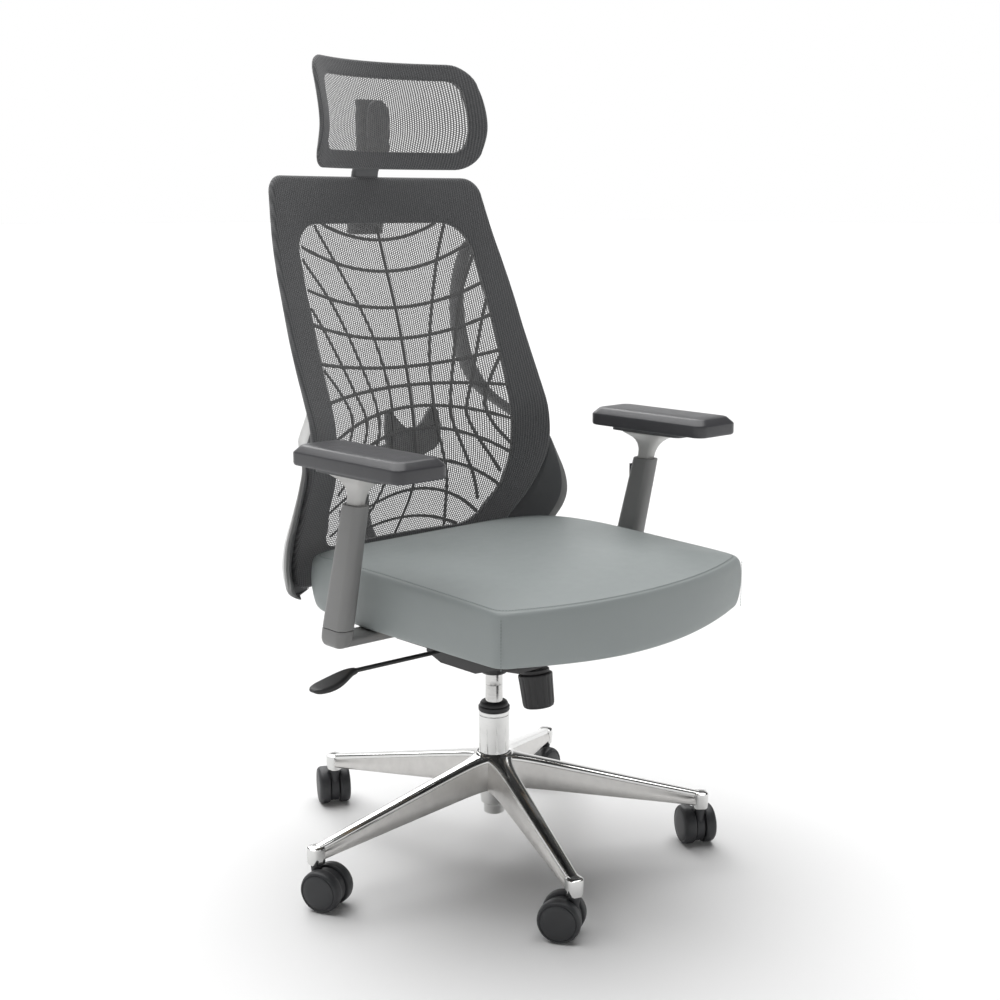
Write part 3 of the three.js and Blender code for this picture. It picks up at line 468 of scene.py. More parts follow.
def build_base():
    hub = turned("hub", [
        (22.5, 110.4), (30, 110.4), (32.4, 112), (33, 116), (33, 140), (34, 148), (34.5, 156), (33.5, 163),
        (30, 168.6), (27.5, 170), (25.6, 169.6),
    ], POLISHED, "base")
    arms = [base_arm(k) for k in range(BASE_ARMS)]
    tips = [arm_tip(k) for k in range(BASE_ARMS)]
    base = join("five_star_base", [hub] + arms + tips)
    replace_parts(base, "star_base")

    column = turned("column_sleeve", [
        (0, 66), (15.4, 66), (16.8, 67), (17, 69), (17, 80.5), (18, 82.4), (21.6, 84.6), (22, 87), (24, 120),
        (25, 169), (25, 232.6), (24.5, 233.2), (24.5, 234), (25, 234.6), (25, 238), (24.4, 239.6),
        (22.4, 240), (20.2, 240),
    ], POLISHED, "base")
    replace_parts(column, "column_tube")
    bush = turned("collar_bush", [
        (19.4, 236), (20, 240.4), (25, 240.5), (25.5, 241.2), (25.5, 246.6), (24.8, 247.6), (23.2, 248.4),
        (22.8, 252), (20.8, 254.8), (17.6, 256), (15, 256), (14.5, 255), (14.5, 240),
    ], BLACK, "base")
    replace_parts(bush, "column_bush")
    tube = turned("pressure_tube", [
        (0, 128.4), (13, 128.4), (14, 129.4), (14, 283), (13.7, 283.6), (14, 284.2), (14, 292), (13, 326),
        (4.4, 326),
    ], STEEL, "mechanism")
    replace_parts(tube, "gas_cylinder")


WEB_RADIUS = 28.4
WEB_LAYERS = ((-7.4, 1.2), (-6.2, 0), (6.2, 0), (7.4, 1.2))  # distance across the caster, how much smaller
WHEEL_PROFILE = (  # radius, distance from the middle of the caster
    (4.6, 9.4), (26, 8.6), (29.6, 8.4), (31.4, 9.2), (32.3, 11), (32.5, 13.4), (32.5, 19.6), (32.1, 22.4),
    (31, 24.8), (29.6, 26.2), (28.6, 26.6), (27.9, 26.3), (27.5, 25.6), (26.7, 25.5), (26.2, 26.3),
    (25.4, 26.9), (17, 27.6), (8, 27.9), (0, 28),
)


def caster_body(k):
    """The web between a caster's wheels, with the neck that holds its stem and the axle."""
    swivel = JOINTS[f"caster_swivel_{k + 1}"]
    roll = JOINTS[f"wheel_roll_{k + 1}_a"]
    stem, axle = Vector(swivel["pos_m"]), Vector(roll["pos_m"])
    across = Vector(roll["axis"])
    trail = Vector((axle.x - stem.x, axle.y - stem.y, 0)).normalized()
    up = Vector((0, 0, 1))
    outline = []
    for step in range(49):
        angle = math.radians(lerp(-68, 248, step / 48))
        outline.append((WEB_RADIUS * math.cos(angle), WEB_RADIUS * math.sin(angle)))
    outline += [(-7.5, -15), (-5.5, -11.5), (0, -10.2), (5.5, -11.5), (7.5, -15)]
    points = []
    for width, inset in WEB_LAYERS:
        shrink = 1 - inset / WEB_RADIUS
        points += [axle + (trail * u * shrink + up * v * shrink + across * width) * MM for u, v in outline]
    faces = ring_faces(len(outline), len(WEB_LAYERS), False, True)
    caster = f"caster_{k + 1}"
    web = piece(f"caster_web_{k + 1}", points, faces, NYLON, caster)
    neck = turned_on(f"caster_neck_{k + 1}", [
        (0, -34), (7.6, -34), (7.6, -14), (8.2, -8), (8.6, -5), (8.6, -2.4), (8, -1), (5.4, -0.6), (5.4, 16),
        (0, 16),
    ], stem, up, NYLON, caster, 40)
    rod = turned_on(f"caster_axle_{k + 1}", [
        (0, -21.8), (3.9, -21.8), (3.9, 21.8), (0, 21.8),
    ], axle, across, NYLON, caster, 24)
    body = join(f"caster_body_{k + 1}", [web, neck, rod])
    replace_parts(body, f"caster_fork_{k + 1}")


def build_casters():
    for k in range(BASE_ARMS):
        caster_body(k)
        for wheel, sign in (("a", 1), ("b", -1)):
            roll = JOINTS[f"wheel_roll_{k + 1}_{wheel}"]
            name = f"{k + 1}_{wheel}"
            centre, outward = Vector(roll["pos_m"]), Vector(roll["axis"]) * sign
            disc = turned_on(f"wheel_{name}", WHEEL_PROFILE, centre, outward, NYLON, f"wheel_{name}", 80)
            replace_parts(disc, f"caster_wheel_{name}")


# ---------------------------------------------------------------- mechanism

KNOB_TILT = math.radians(10)
KNOB_FLUTES = 16
KNOB_PROFILE = (  # radius, distance down the knob's axis, depth of the flutes there
    (0, 5.6, 0), (22, 5.6, 0), (23, 6.6, 0), (23, 11.4, 0), (26, 12.2, 0), (27.2, 13.6, 0), (27.4, 16, 0.2),
    (27.1, 19, 1), (25.2, 58, 1), (24.6, 62, 0.5), (23.4, 64.6, 0), (20.6, 66.4, 0), (10, 67, 0), (0, 67, 0),
)
LEVER = {"y": 29, "z": 349}
LEVER_STATIONS = (-50, -64, -76, -90, -120, -170, -220, -262)
LEVER_BEND = -76  # from here outward the bar climbs a little
LEVER_CLIMB = 0.02
SPOON_STATIONS = (  # x, then the width, thickness and height offset of the paddle there
    (-255, 11, 9, 3), (-262, 13, 10.5, 3.5), (-270, 18, 12, 2.5), (-280, 27, 13, -0.5),
    (-292, 34.5, 12.6, -4.5), (-304, 38.6, 11.6, -7.6), (-316, 38.6, 10.4, -9.6), (-327, 34, 9.2, -10.8),
    (-335, 26, 7.6, -11.4), (-339.4, 13, 4, -11.6),
)


def build_knob():
    """A tapered knob with narrow flutes round its side, below a plain neck."""
    down = Vector((0, -math.sin(KNOB_TILT), -math.cos(KNOB_TILT)))
    turn = down.to_track_quat("Z", "X").to_matrix()
    centre = place(0, -93, 335)
    sides = 144
    points = []
    for radius, along, depth in KNOB_PROFILE:
        for k in range(sides):
            angle = 2 * math.pi * k / sides
            flute = max(0.0, math.cos(KNOB_FLUTES * angle) - 0.45) / 0.55
            reach = radius - depth * flute * 1.3
            local = Vector((reach * math.cos(angle), reach * math.sin(angle), along))
            points.append(centre + turn @ local * MM)
    faces = ring_faces(sides, len(KNOB_PROFILE), False, False)
    knob = piece("recline_knob", points, faces, BLACK, "tension")
    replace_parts(knob, "tension_knob")


def build_lever():
    """The flat bar out from the mechanism's side and the paddle at its end."""
    y, z = LEVER["y"], LEVER["z"]
    rings = []
    for x in LEVER_STATIONS:
        climb = max(0.0, LEVER_BEND - x) * LEVER_CLIMB
        rings.append([(x, y + u, z + v + climb) for u, v in rounded(8.2, 6.2, 2.6)])
    bar = loft("lever_bar", rings, PRESSED, "lever")
    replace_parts(bar, "lever_rod")
    paddle = loft("lever_spoon", [
        [(x, y + u, z + offset + v) for u, v in rounded(width, height, height * 0.46)]
        for x, width, height, offset in SPOON_STATIONS
    ], BLACK, "lever")
    subdivide(paddle, 1)
    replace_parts(paddle, "lever_paddle")


def build_mechanism():
    build_knob()
    build_lever()
    paint_cad(PRESSED, "mechanism_housing", "back_carrier", "seat_plate")
    paint_cad(STEEL, "piston_rod", "release_pin", "thrust_bearing", "front_pivot_pin", "rear_pivot_pin",
              "tilt_spring", "tension_bolt")
    paint_cad(BLACK, "lever_bush", "seat_shell")
    paint_cad(WOOD, "seat_board")


# ---------------------------------------------------------------- seat

SEAT_HALF_WIDTH = 262
SEAT_FRONT_CORNER = -297
SEAT_FRONT = -343
SEAT_REAR = 190
SEAT_BOTTOM = 431
SEAT_TOP = 517
SEAT_MIDDLE_Y = -60
SEAT_CORNER = 22
SEAT_REAR_CORNER = 74

seat_seam = smooth_curve(((SEAT_FRONT, 497), (-200, 503), (60, 508), (SEAT_REAR, 498)))


def bezier(points, steps):
    """Points along a quadratic Bezier curve, without its last one."""
    (ax, ay), (bx, by), (cx, cy) = points
    found = []
    for step in range(steps):
        t = step / steps
        a, b, c = (1 - t) ** 2, 2 * t * (1 - t), t * t
        found.append((a * ax + b * bx + c * cx, a * ay + b * by + c * cy))
    return found


def seat_outline(inset=0.0):
    """Plan of the seat: straight sides, a bowed front between tight corners, and a rounded rear."""
    half = SEAT_HALF_WIDTH - inset
    front = SEAT_FRONT_CORNER + inset
    bow = SEAT_FRONT + inset
    rear = SEAT_REAR - inset
    shoulder = rear - 2.2 * SEAT_REAR_CORNER
    corner = rear - SEAT_REAR_CORNER
    left = [(0, rear), (-(half - SEAT_REAR_CORNER - 14) / 2, rear)]
    left += bezier([(-half + SEAT_REAR_CORNER + 14, rear), (-half + 14, rear), (-half + 8, corner)], 8)
    left += bezier([(-half + 8, corner), (-half, shoulder), (-half, 0)], 6)
    left += [(-half, lerp(0, front + SEAT_CORNER, k / 8)) for k in range(8)]
    left += bezier([(-half, front + SEAT_CORNER), (-half, front), (-half + SEAT_CORNER, front - 5)], 8)
    left += bezier([(-half + SEAT_CORNER, front - 5), (-half / 2, bow), (0, bow)], 12)
    return left + [(0, bow)] + [(-x, y) for x, y in reversed(left[1:])]


def frontness(x, y):
    """How far along the bowed front a point lies: 0 on the sides, 1 in the middle of the front edge."""
    forward = min(max((SEAT_FRONT_CORNER + 30 - y) / 70, 0), 1)
    return forward * (1 - (x / SEAT_HALF_WIDTH) ** 2)


def seat_height(x, y, up):
    """Height of the side at a fraction of the way from the lower edge to the seam."""
    return lerp(SEAT_BOTTOM - 9 * frontness(x, y), seat_seam(y), up)


def seat_side(inset, up):
    return [(x, y, seat_height(x, y, up)) for x, y in seat_outline(inset)]


def seat_top(factor, rise):
    """A ring of the top, scaled about the seat's middle: it rises gently and is dished at the rear."""
    ring = []
    for x, y in seat_outline():
        px, py = x * factor, (y - SEAT_MIDDLE_Y) * factor + SEAT_MIDDLE_Y
        dish = 2.4 * math.exp(-((px / 150) ** 2) - ((py - 40) / 130) ** 2)
        edge = seat_seam(y) + 5.5
        ring.append((px, py, lerp(edge, SEAT_TOP + 0.6, rise) - dish))
    return ring


SEAM_INSET = 7.5
SEAT_SIDE_ROWS = (  # how far in from the outline, share of the way up the side
    (22, -0.135), (13, -0.14), (8, -0.12), (4.6, -0.07), (2.8, 0.02), (1.2, 0.16), (-0.6, 0.4), (-1, 0.6),
    (-0.2, 0.8), (0.6, 0.92), (1.8, 0.975),
)
SEAM_ROWS = (  # how far in from the outline, how far above the seam line
    (3.4, 1.6), (5.2, 3.4), (6.6, 4), (SEAM_INSET, 3.1), (8.4, 4.4), (11, 5.6),
)
SEAT_TOP_ROWS = (  # size compared with the outline, share of the crown's rise
    (0.93, 0.12), (0.86, 0.42), (0.76, 0.72), (0.62, 0.93), (0.44, 1), (0.26, 1), (0.1, 1),
)


def stitch_row(name, path, reach, body, pitch=4.6):
    """Short thread stitches laid end to end along a path of millimetre points."""
    points, faces = [], []
    travelled = 0.0
    for start, end in zip(path, path[1:]):
        a, b = place(*start), place(*end)
        length = (b - a).length / MM
        while travelled < length:
            middle = a.lerp(b, travelled / length)
            along = (b - a).normalized()
            side = along.cross(Vector((0, 0, 1)))
            side = side.normalized() if side.length > 0.1 else Vector((0, -1, 0))
            lift = side.cross(along)
            first = len(points)
            for t, size in ((-1.5, 0.25), (-1.1, 0.5), (0, 0.62), (1.1, 0.5), (1.5, 0.25)):
                for turn in range(6):
                    angle = turn * math.pi / 3
                    outward = side * math.cos(angle) + lift * math.sin(angle)
                    points.append(middle + (along * t + outward * size * reach) * MM)
            faces += ring_faces(6, 5, False, True, first)
            travelled += pitch
        travelled -= length
    piece(name, points, faces, THREAD, body)


def build_seat():
    """The cushion, tucked under below, drawn in at the seam and crowned on top, with its stitches."""
    rings = [seat_side(inset, up) for inset, up in SEAT_SIDE_ROWS]
    rings += [[(x, y, seat_seam(y) + lift) for x, y in seat_outline(inset)] for inset, lift in SEAM_ROWS]
    rings += [seat_top(factor, rise) for factor, rise in SEAT_TOP_ROWS]
    cushion = loft("seat_cushion", rings, LEATHER, "seat")
    subdivide(cushion, 1)
    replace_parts(cushion, "seat_cover", "seat_foam")
    path = [(x, y, seat_seam(y) + 4.9) for x, y in seat_outline(9.6)]
    path.append(path[0])
    stitch_row("seat_stitches", path, 1.0, "seat")
    for side, sign in SIDES:
        x, y = sign * (SEAT_HALF_WIDTH - 4.4), SEAT_FRONT_CORNER + 3.2
        upright = [(x, y, SEAT_BOTTOM - 6), (x, y, seat_seam(y) - 3)]
        stitch_row(f"corner_stitches_{side}", upright, 1.0, "seat")


# ---------------------------------------------------------------- armrests

ARM_X = 308
SLEEVE_FOOT = {"y": 3, "z": 434}
SLEEVE_MOUTH = {"y": -44, "z": 625}
PAD = {"x": 310, "y": -76, "length": 248, "width": 94, "bottom": 676.8, "top": 708}
FOOT_ROWS = (  # height, then the width, depth and corner radius of a ring there
    (404.2, 8, 28, 3.9), (404.8, 15, 37, 7), (407, 21, 44, 9.5), (411, 26, 49, 11.5), (416.5, 29, 52.6, 12.6),
    (423, 30, 54, 13), (432.4, 30, 54, 13), (433.2, 29.2, 53.2, 12.6),
)
SLEEVE_ROWS = (
    (434.2, 29.2, 53.2, 12.6), (435, 30, 54, 13), (530, 28.6, 49.2, 12.6), (622.6, 27, 44.2, 12),
    (624.6, 26.2, 43.2, 11.6), (625, 25, 42, 11), (624.8, 19.4, 31.4, 8.2), (600, 18.9, 30.9, 8),
)
POST_ROWS = (
    (476, 18, 30, 7.6), (632, 18, 30, 7.6), (638, 18.8, 31.4, 7.8), (644, 20.6, 35, 8.4),
    (650, 24, 41.4, 9.6), (655.5, 29, 51, 11.5), (660.5, 36.6, 65, 14), (664.6, 46, 83, 16.6),
    (667.6, 52.6, 96, 18), (669.2, 55.4, 101, 18.4), (670, 55.8, 101.8, 18.4),
)
LEG_STATIONS = (ARM_X + 2, 290, 276, 262, 248, 200, 140)  # from under the sleeve inward


def sleeve_y(z):
    t = (z - SLEEVE_FOOT["z"]) / (SLEEVE_MOUTH["z"] - SLEEVE_FOOT["z"])
    return lerp(SLEEVE_FOOT["y"], SLEEVE_MOUTH["y"], t)


def sleeve_rings(sign, rows):
    """Rounded rings up the armrest's leaning line."""
    return [
        [(sign * (ARM_X + u), sleeve_y(z) + v, z) for u, v in rounded(width, depth, radius)]
        for z, width, depth, radius in rows
    ]


def build_arm(side, sign):
    foot = loft(f"bracket_foot_{side}", sleeve_rings(sign, FOOT_ROWS), GREY, "seat")
    leg_rings = []
    for x in LEG_STATIONS:
        wide = lerp(58, 44, (x - 140) / 168)
        leg_rings.append([(sign * x, 10 + u, 412 + v) for u, v in rounded(wide, 14.6, 5)])
    leg = loft(f"bracket_leg_{side}", leg_rings, GREY, "seat")
    bracket = join(f"armrest_bracket_{side}", [foot, leg])
    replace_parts(bracket, f"arm_bracket_{side}")

    sleeve = loft(f"armrest_sleeve_{side}", sleeve_rings(sign, SLEEVE_ROWS), GREY, "seat")
    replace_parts(sleeve, f"arm_sleeve_{side}")

    post = loft(f"armrest_post_{side}", sleeve_rings(sign, POST_ROWS), PALE, f"arm_post_{side}")
    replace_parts(post, f"arm_post_{side}")
    build_pad(side, sign)
    paint_cad(DARK, f"arm_button_{side}", f"arm_slide_plate_{side}")


def build_pad(side, sign):
    def ring(inset, z):
        outline = rounded(PAD["width"] - 2 * inset, PAD["length"] - 2 * inset, 17 - inset * 0.4, 7)
        return [(sign * (PAD["x"] + u), PAD["y"] + v, z) for u, v in outline]

    bottom, top = PAD["bottom"], PAD["top"]
    pad = loft(f"armrest_pad_{side}", [
        ring(5, bottom), ring(1.6, bottom + 0.8), ring(0.3, bottom + 2.6), ring(0, bottom + 5),
        ring(0, top - 13.5), ring(0.4, top - 11.8), ring(1.6, top - 10.4), ring(8.4, top - 3.4),
        ring(9.8, top - 2.2), ring(12, top - 1.4), ring(18, top - 0.5), ring(28, top), ring(38, top),
    ], PAD_SKIN, f"pad_{side}")
    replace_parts(pad, f"arm_pad_{side}")


# ---------------------------------------------------------------- back

BACK_BOTTOM = 430
BACK_TOP = 1090
FRAME_THICKNESS = 16
WINDOW_BOTTOM = 492
WINDOW_TOP = 1014
WINDOW_LOW_CORNER = 40
WINDOW_HIGH_CORNER = 52
HEAD_BOTTOM = 1102
HEAD_TOP = 1275
HEAD_BAND = 28
HEAD_WRAP = 2.1e-3
HEAD_THICKNESS = 12
BACK_NET_HALF = 190  # half the width that each net's flat size is measured across
HEAD_NET_HALF = 138
NECK_SPREAD = 1.3

back_spine = smooth_curve((
    (430, 263), (455, 263), (480, 256), (520, 232), (560, 208), (600, 193), (645, 190), (700, 196),
    (760, 208), (860, 234), (950, 266), (1000, 283), (1090, 306),
))
back_wrap = smooth_curve((
    (430, 6.8e-4), (580, 6.8e-4), (640, 9.2e-4), (700, 1.08e-3), (750, 9.4e-4), (800, 7.8e-4), (860, 6.6e-4),
    (1090, 6.6e-4),
))
back_half_width = smooth_curve((
    (430, 216), (455, 222), (505, 236), (540, 247), (600, 256), (640, 256), (700, 251), (820, 246),
    (940, 237), (1050, 221), (1090, 214),
))
window_half_width = smooth_curve((
    (492, 158), (515, 164), (560, 184), (600, 188), (660, 188), (780, 189), (900, 187), (1038, 176),
))
head_spine = smooth_curve(((1102, 281), (1135, 268), (1170, 260), (1215, 268), (1268, 288)))
head_half_width = smooth_curve((
    (1102, 164), (1125, 169), (1150, 172), (1185, 173), (1220, 171), (1250, 166), (1275, 160),
))


def back_surface(x, z):
    return back_spine(z) - back_wrap(z) * x * x


def head_surface(x, z):
    return head_spine(z) - HEAD_WRAP * x * x


def panel_outline(bottom, top, low_corner, high_corner, half_width, side_steps):
    """An upright panel's outline as (x, z) pairs, from its bottom middle round to its top middle and back."""
    low_x = half_width(bottom + low_corner) - low_corner
    high_x = half_width(top - high_corner) - high_corner

    def arc(x, z, radius, start):
        angles = [start + step / 8 * math.pi / 2 for step in range(9)]
        return [(x + radius * math.cos(a), z + radius * math.sin(a)) for a in angles]

    side = [lerp(bottom + low_corner, top - high_corner, (k + 1) / side_steps) for k in range(side_steps - 1)]
    half = [(low_x * u / 6, bottom) for u in range(6)]
    half += arc(low_x, bottom + low_corner, low_corner, -math.pi / 2)
    half += [(half_width(z), z) for z in side]
    half += arc(high_x, top - high_corner, high_corner, 0)
    half += [(high_x * u / 6, top) for u in range(5, -1, -1)]
    return half + [(-x, z) for x, z in reversed(half[1:-1])]


def band_section(reach, thickness):
    """A frame's cross-section from its inner edge round: (distance in from the outer edge, depth) pairs."""
    return (
        (reach, 6.5), (reach - 3, thickness * 0.5), (reach * 0.5, thickness * 0.76), (9, thickness - 1.2),
        (4.6, thickness - 0.4), (2, thickness - 1.6), (0.6, thickness - 4), (0, thickness * 0.6), (0.3, 5.4),
        (1.4, 3), (3.2, 1.4), (6, 0.5), (10, 0.1), (reach * 0.5, 0), (reach - 7, 0), (reach - 3, 0.3),
        (reach - 0.8, 1), (reach, 2.2),
    )


def wrapped_frame(name, outer, inner, surface, thickness, body, node):
    """A stiff frame with net pulled round it: flat in front, rolled over its outer edge, tucked in behind."""
    rings = []
    for (x, z), (inner_x, inner_z) in zip(outer, inner):
        reach = math.hypot(inner_x - x, inner_z - z)
        ring = []
        for inward, depth in band_section(reach, thickness):
            px = x + (inner_x - x) * inward / reach
            pz = z + (inner_z - z) * inward / reach
            ring.append((px, surface(px, pz) + depth, pz))
        rings.append(ring)
    frame_piece = loft(name, rings, BAND, body, looped=True)
    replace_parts(frame_piece, node)
    return frame_piece


def stretched_net(name, inner, surface, body, node):
    """One layer of net across a window, its edge hidden behind the frame's inner lip."""
    side = inner[:len(inner) // 2 + 1]
    rows = {}
    for x, z in side:
        rows[z] = max(x, rows.get(z, 0.0))
    middle = (side[0][1] + side[-1][1]) / 2
    columns = 28
    points, faces = [], []
    for z in sorted(rows):
        half, tucked = rows[z] + 1.6, z + math.copysign(1.6, z - middle)
        for k in range(columns + 1):
            x = lerp(-half, half, k / columns)
            points.append(place(x, surface(x, z) + 1.5, tucked))
    for r in range(len(rows) - 1):
        for k in range(columns):
            a = r * (columns + 1) + k
            faces.append((a, a + 1, a + columns + 2, a + columns + 1))
    sheet = piece(name, points, faces, NET, body)
    subdivide(sheet, 1)
    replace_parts(sheet, node)
    return sheet


def flat_size(surface, half, bottom, top):
    """Width across and length up a curved panel, in metres, as it was cut."""
    steps = 40
    middle = (bottom + top) / 2

    def length(path):
        return sum(math.dist(a, b) for a, b in zip(path, path[1:]))

    widths = [lerp(-half, half, k / steps) for k in range(steps + 1)]
    heights = [lerp(bottom, top, k / steps) for k in range(steps + 1)]
    across = length([(x, surface(x, middle)) for x in widths])
    upward = length([(z, surface(0, z)) for z in heights])
    return across * MM, upward * MM


# The darker lines knitted into the back: (height at the middle, how fast the line bends away from level).
WEB_ARCS = (
    (987, 1.9e-3), (936, 1.4e-3), (877, 1.05e-3), (827, 0.9e-3), (781, 0.5e-3), (751, -0.3e-3),
    (716, -0.95e-3), (680, -1.6e-3), (627, -1.9e-3), (576, -2.4e-3), (524, -1.8e-3),
)
# The upright lines draw together at the waist: (height, distance from the middle) along each.
WEB_UPRIGHTS = (
    ((494, 0), (1036, 0)),
    ((494, 104), (563, 77), (673, 48), (745, 45), (835, 61), (938, 101), (1030, 146)),
    ((540, 150), (578, 129), (640, 96), (700, 77), (787, 98), (890, 137), (960, 180)),
    ((590, 176), (615, 155), (655, 125), (700, 107), (752, 126), (844, 165), (885, 186)),
    ((640, 186), (675, 155), (712, 142), (752, 160), (790, 188)),
)
WEB_WIDTH = 5.4


def corner_loss(radius, beyond):
    """How much narrower a rounded corner makes a panel at a height beyond where the corner starts."""
    share = max(0.0, beyond) / radius
    return radius * (1 - math.sqrt(max(0.0, 1 - share ** 2)))


def inside_window(x, z):
    margin = 2
    half = window_half_width(z)
    half -= corner_loss(WINDOW_HIGH_CORNER, z - (WINDOW_TOP - WINDOW_HIGH_CORNER))
    half -= corner_loss(WINDOW_LOW_CORNER, WINDOW_BOTTOM + WINDOW_LOW_CORNER - z)
    return abs(x) <= half + margin and WINDOW_BOTTOM - margin <= z <= WINDOW_TOP + margin


def ribbon(path, surface, width):
    """Points of a flat strip along (x, z) pairs, lying on a surface and just in front of the net."""
    points = []
    for k, (x, z) in enumerate(path):
        ahead, behind = path[min(k + 1, len(path) - 1)], path[max(k - 1, 0)]
        dx, dz = ahead[0] - behind[0], ahead[1] - behind[1]
        size = math.hypot(dx, dz)
        nx, nz = -dz / size * width / 2, dx / size * width / 2
        for side, depth in ((1, 0.4), (0.6, 0), (-0.6, 0), (-1, 0.4), (-1, 1.2), (1, 1.2)):
            px, pz = x + nx * side, z + nz * side
            points.append(place(px, surface(px, pz) + depth, pz))
    return points


def web_lines():
    paths = []
    for middle, bend in WEB_ARCS:
        run = [(x, middle + bend * x * x) for x in range(-200, 201, 5)]
        paths.append([p for p in run if inside_window(*p)])
    for knots in WEB_UPRIGHTS:
        line = smooth_curve(knots)
        heights = [lerp(knots[0][0], knots[-1][0], k / 60) for k in range(61)]
        for sign in (1, -1) if knots[0][1] else (1,):
            paths.append([(sign * line(z), z) for z in heights if inside_window(line(z), z)])
    points, faces = [], []
    for path in paths:
        first = len(points)
        points += ribbon(path, back_surface, WEB_WIDTH)
        faces += ring_faces(6, len(path), False, True, first)
    return piece("back_net_lines", points, faces, WEB, "back")


STRUT = (  # height, then the middle, width and depth of the strut there
    (985, 196, 276.5, 18, 20), (974, 193.4, 279.6, 18.6, 23.4), (964, 190, 282, 19, 26),
    (935, 180, 285, 20, 28), (897, 172, 284, 20, 28), (864, 167, 279, 21, 30), (827, 164, 269, 22, 32),
    (795, 162, 257, 23, 34), (767, 162, 243, 24, 34), (735, 172, 226, 25, 34), (720, 184, 216, 25, 34),
    (708, 197, 206, 25, 34), (696, 211, 196, 25, 34), (686, 222, 187, 26, 34), (677, 232, 178, 26, 34),
)
STRUT_SECTION = (
    (-0.3, -0.5), (0.1, -0.5), (0.4, -0.42), (0.5, -0.15), (0.5, 0.25), (0.25, 0.5), (-0.25, 0.5),
    (-0.5, 0.2), (-0.5, -0.25),
)
wing_tip_x = smooth_curve((
    (420, 222), (428, 240), (440, 258), (460, 275), (490, 290), (520, 300), (545, 301), (580, 292),
    (620, 276), (655, 263), (665, 262),
))
wing_tip_y = smooth_curve((
    (420, 214), (440, 196), (460, 174), (490, 156), (520, 139), (550, 129), (580, 127), (620, 133),
    (655, 143), (665, 161),
))
WING_LEVELS = (
    665, 655, 646, 637, 628, 619, 610, 600, 590, 580, 570, 560, 550, 540, 530, 520, 510, 500, 490, 480,
    470, 462, 454, 447, 440, 434, 429, 425, 422, 420,
)
# Painted shade: the side arm is one pale plastic, but its faces turned away from the light take darker
# plastic, and the wing's front edge takes mid grey as painted half-shade.
PALE_SKIN, PAINTED_SHADE_SKIN, PAINTED_HALF_SHADE_SKIN = 0, 1, 2  # material slots of a side arm
STRUT_PAINTED_SHADE_FACES = (0, 1, 6, 7, 8)
WING_PAINTED_SHADE = {0: PAINTED_SHADE_SKIN, 1: PAINTED_HALF_SHADE_SKIN, 2: PAINTED_HALF_SHADE_SKIN, 7: PAINTED_SHADE_SKIN, 8: PAINTED_SHADE_SKIN}


def wing_section(z):
    """The wing's outline at a height, seen from above: a thin lip that spreads round the frame's edge."""
    edge = back_half_width(max(z, BACK_BOTTOM))
    tip_x, tip_y = wing_tip_x(z), wing_tip_y(z)
    rear_x = edge - 22

    def behind(x, gap):
        return back_surface(x, z) + FRAME_THICKNESS + gap

    rear_y = behind(rear_x, 12)
    middle_x = (tip_x + rear_x) / 2
    middle_y = max((tip_y + rear_y) / 2 + 3, behind(middle_x, 8))
    front_y = max(back_surface(edge, z) + 4, tip_y)
    return [
        (edge + 1.6, front_y), (tip_x - 4, tip_y), (tip_x, tip_y + 3), (tip_x - 1, tip_y + 8),
        (middle_x, middle_y), (rear_x, rear_y), (edge - 48, behind(edge - 48, 12)),
        (edge - 48, behind(edge - 48, 3.5)), (edge + 1.6, behind(edge, 3.5)),
    ]


def build_side_arm(side, sign):
    """The slim strut that bows out behind the net, running into the wing round the frame's lower edge."""
    rings = [[(sign * (x + u * w), y + v * d, z) for u, v in STRUT_SECTION] for z, x, y, w, d in STRUT]
    rings += [[(sign * x, y, z) for x, y in wing_section(z)] for z in WING_LEVELS]
    arm = loft(f"side_arm_shell_{side}", rings, SHELL, "back")
    # Darker plastic and mid grey painted on the strut's and wing's shaded faces and edge as painted shade.
    arm.data.materials.append(DARK)
    arm.data.materials.append(GREY)
    count = len(STRUT_SECTION)
    for face in arm.data.polygons:
        column = face.index % count
        if face.index < count * len(STRUT):
            face.material_index = PAINTED_SHADE_SKIN if column in STRUT_PAINTED_SHADE_FACES else PALE_SKIN
        elif face.index < count * (len(rings) - 1):
            face.material_index = WING_PAINTED_SHADE.get(column, PALE_SKIN)
    subdivide(arm, 1)
    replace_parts(arm, f"side_arm_{side}")


def softened(name, node, material, body, width=1.2):
    """A CAD piece with its flat faces made whole again and its edges rounded."""
    mesh = frame["nodes"][node].data.copy()
    mesh.name = name
    mesh.materials.clear()
    mesh.materials.append(material)
    editable = bmesh.new()
    editable.from_mesh(mesh)
    bmesh.ops.remove_doubles(editable, verts=editable.verts, dist=2e-5)
    flat = math.radians(1)
    bmesh.ops.dissolve_limit(editable, angle_limit=flat, verts=editable.verts, edges=editable.edges)
    editable.to_mesh(mesh)
    editable.free()
    mesh.polygons.foreach_set("use_smooth", [True] * len(mesh.polygons))
    obj = bpy.data.objects.new(name, mesh)
    bpy.context.scene.collection.objects.link(obj)
    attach(obj, body)
    round_edges(obj, width, 2)
    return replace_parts(obj, node)


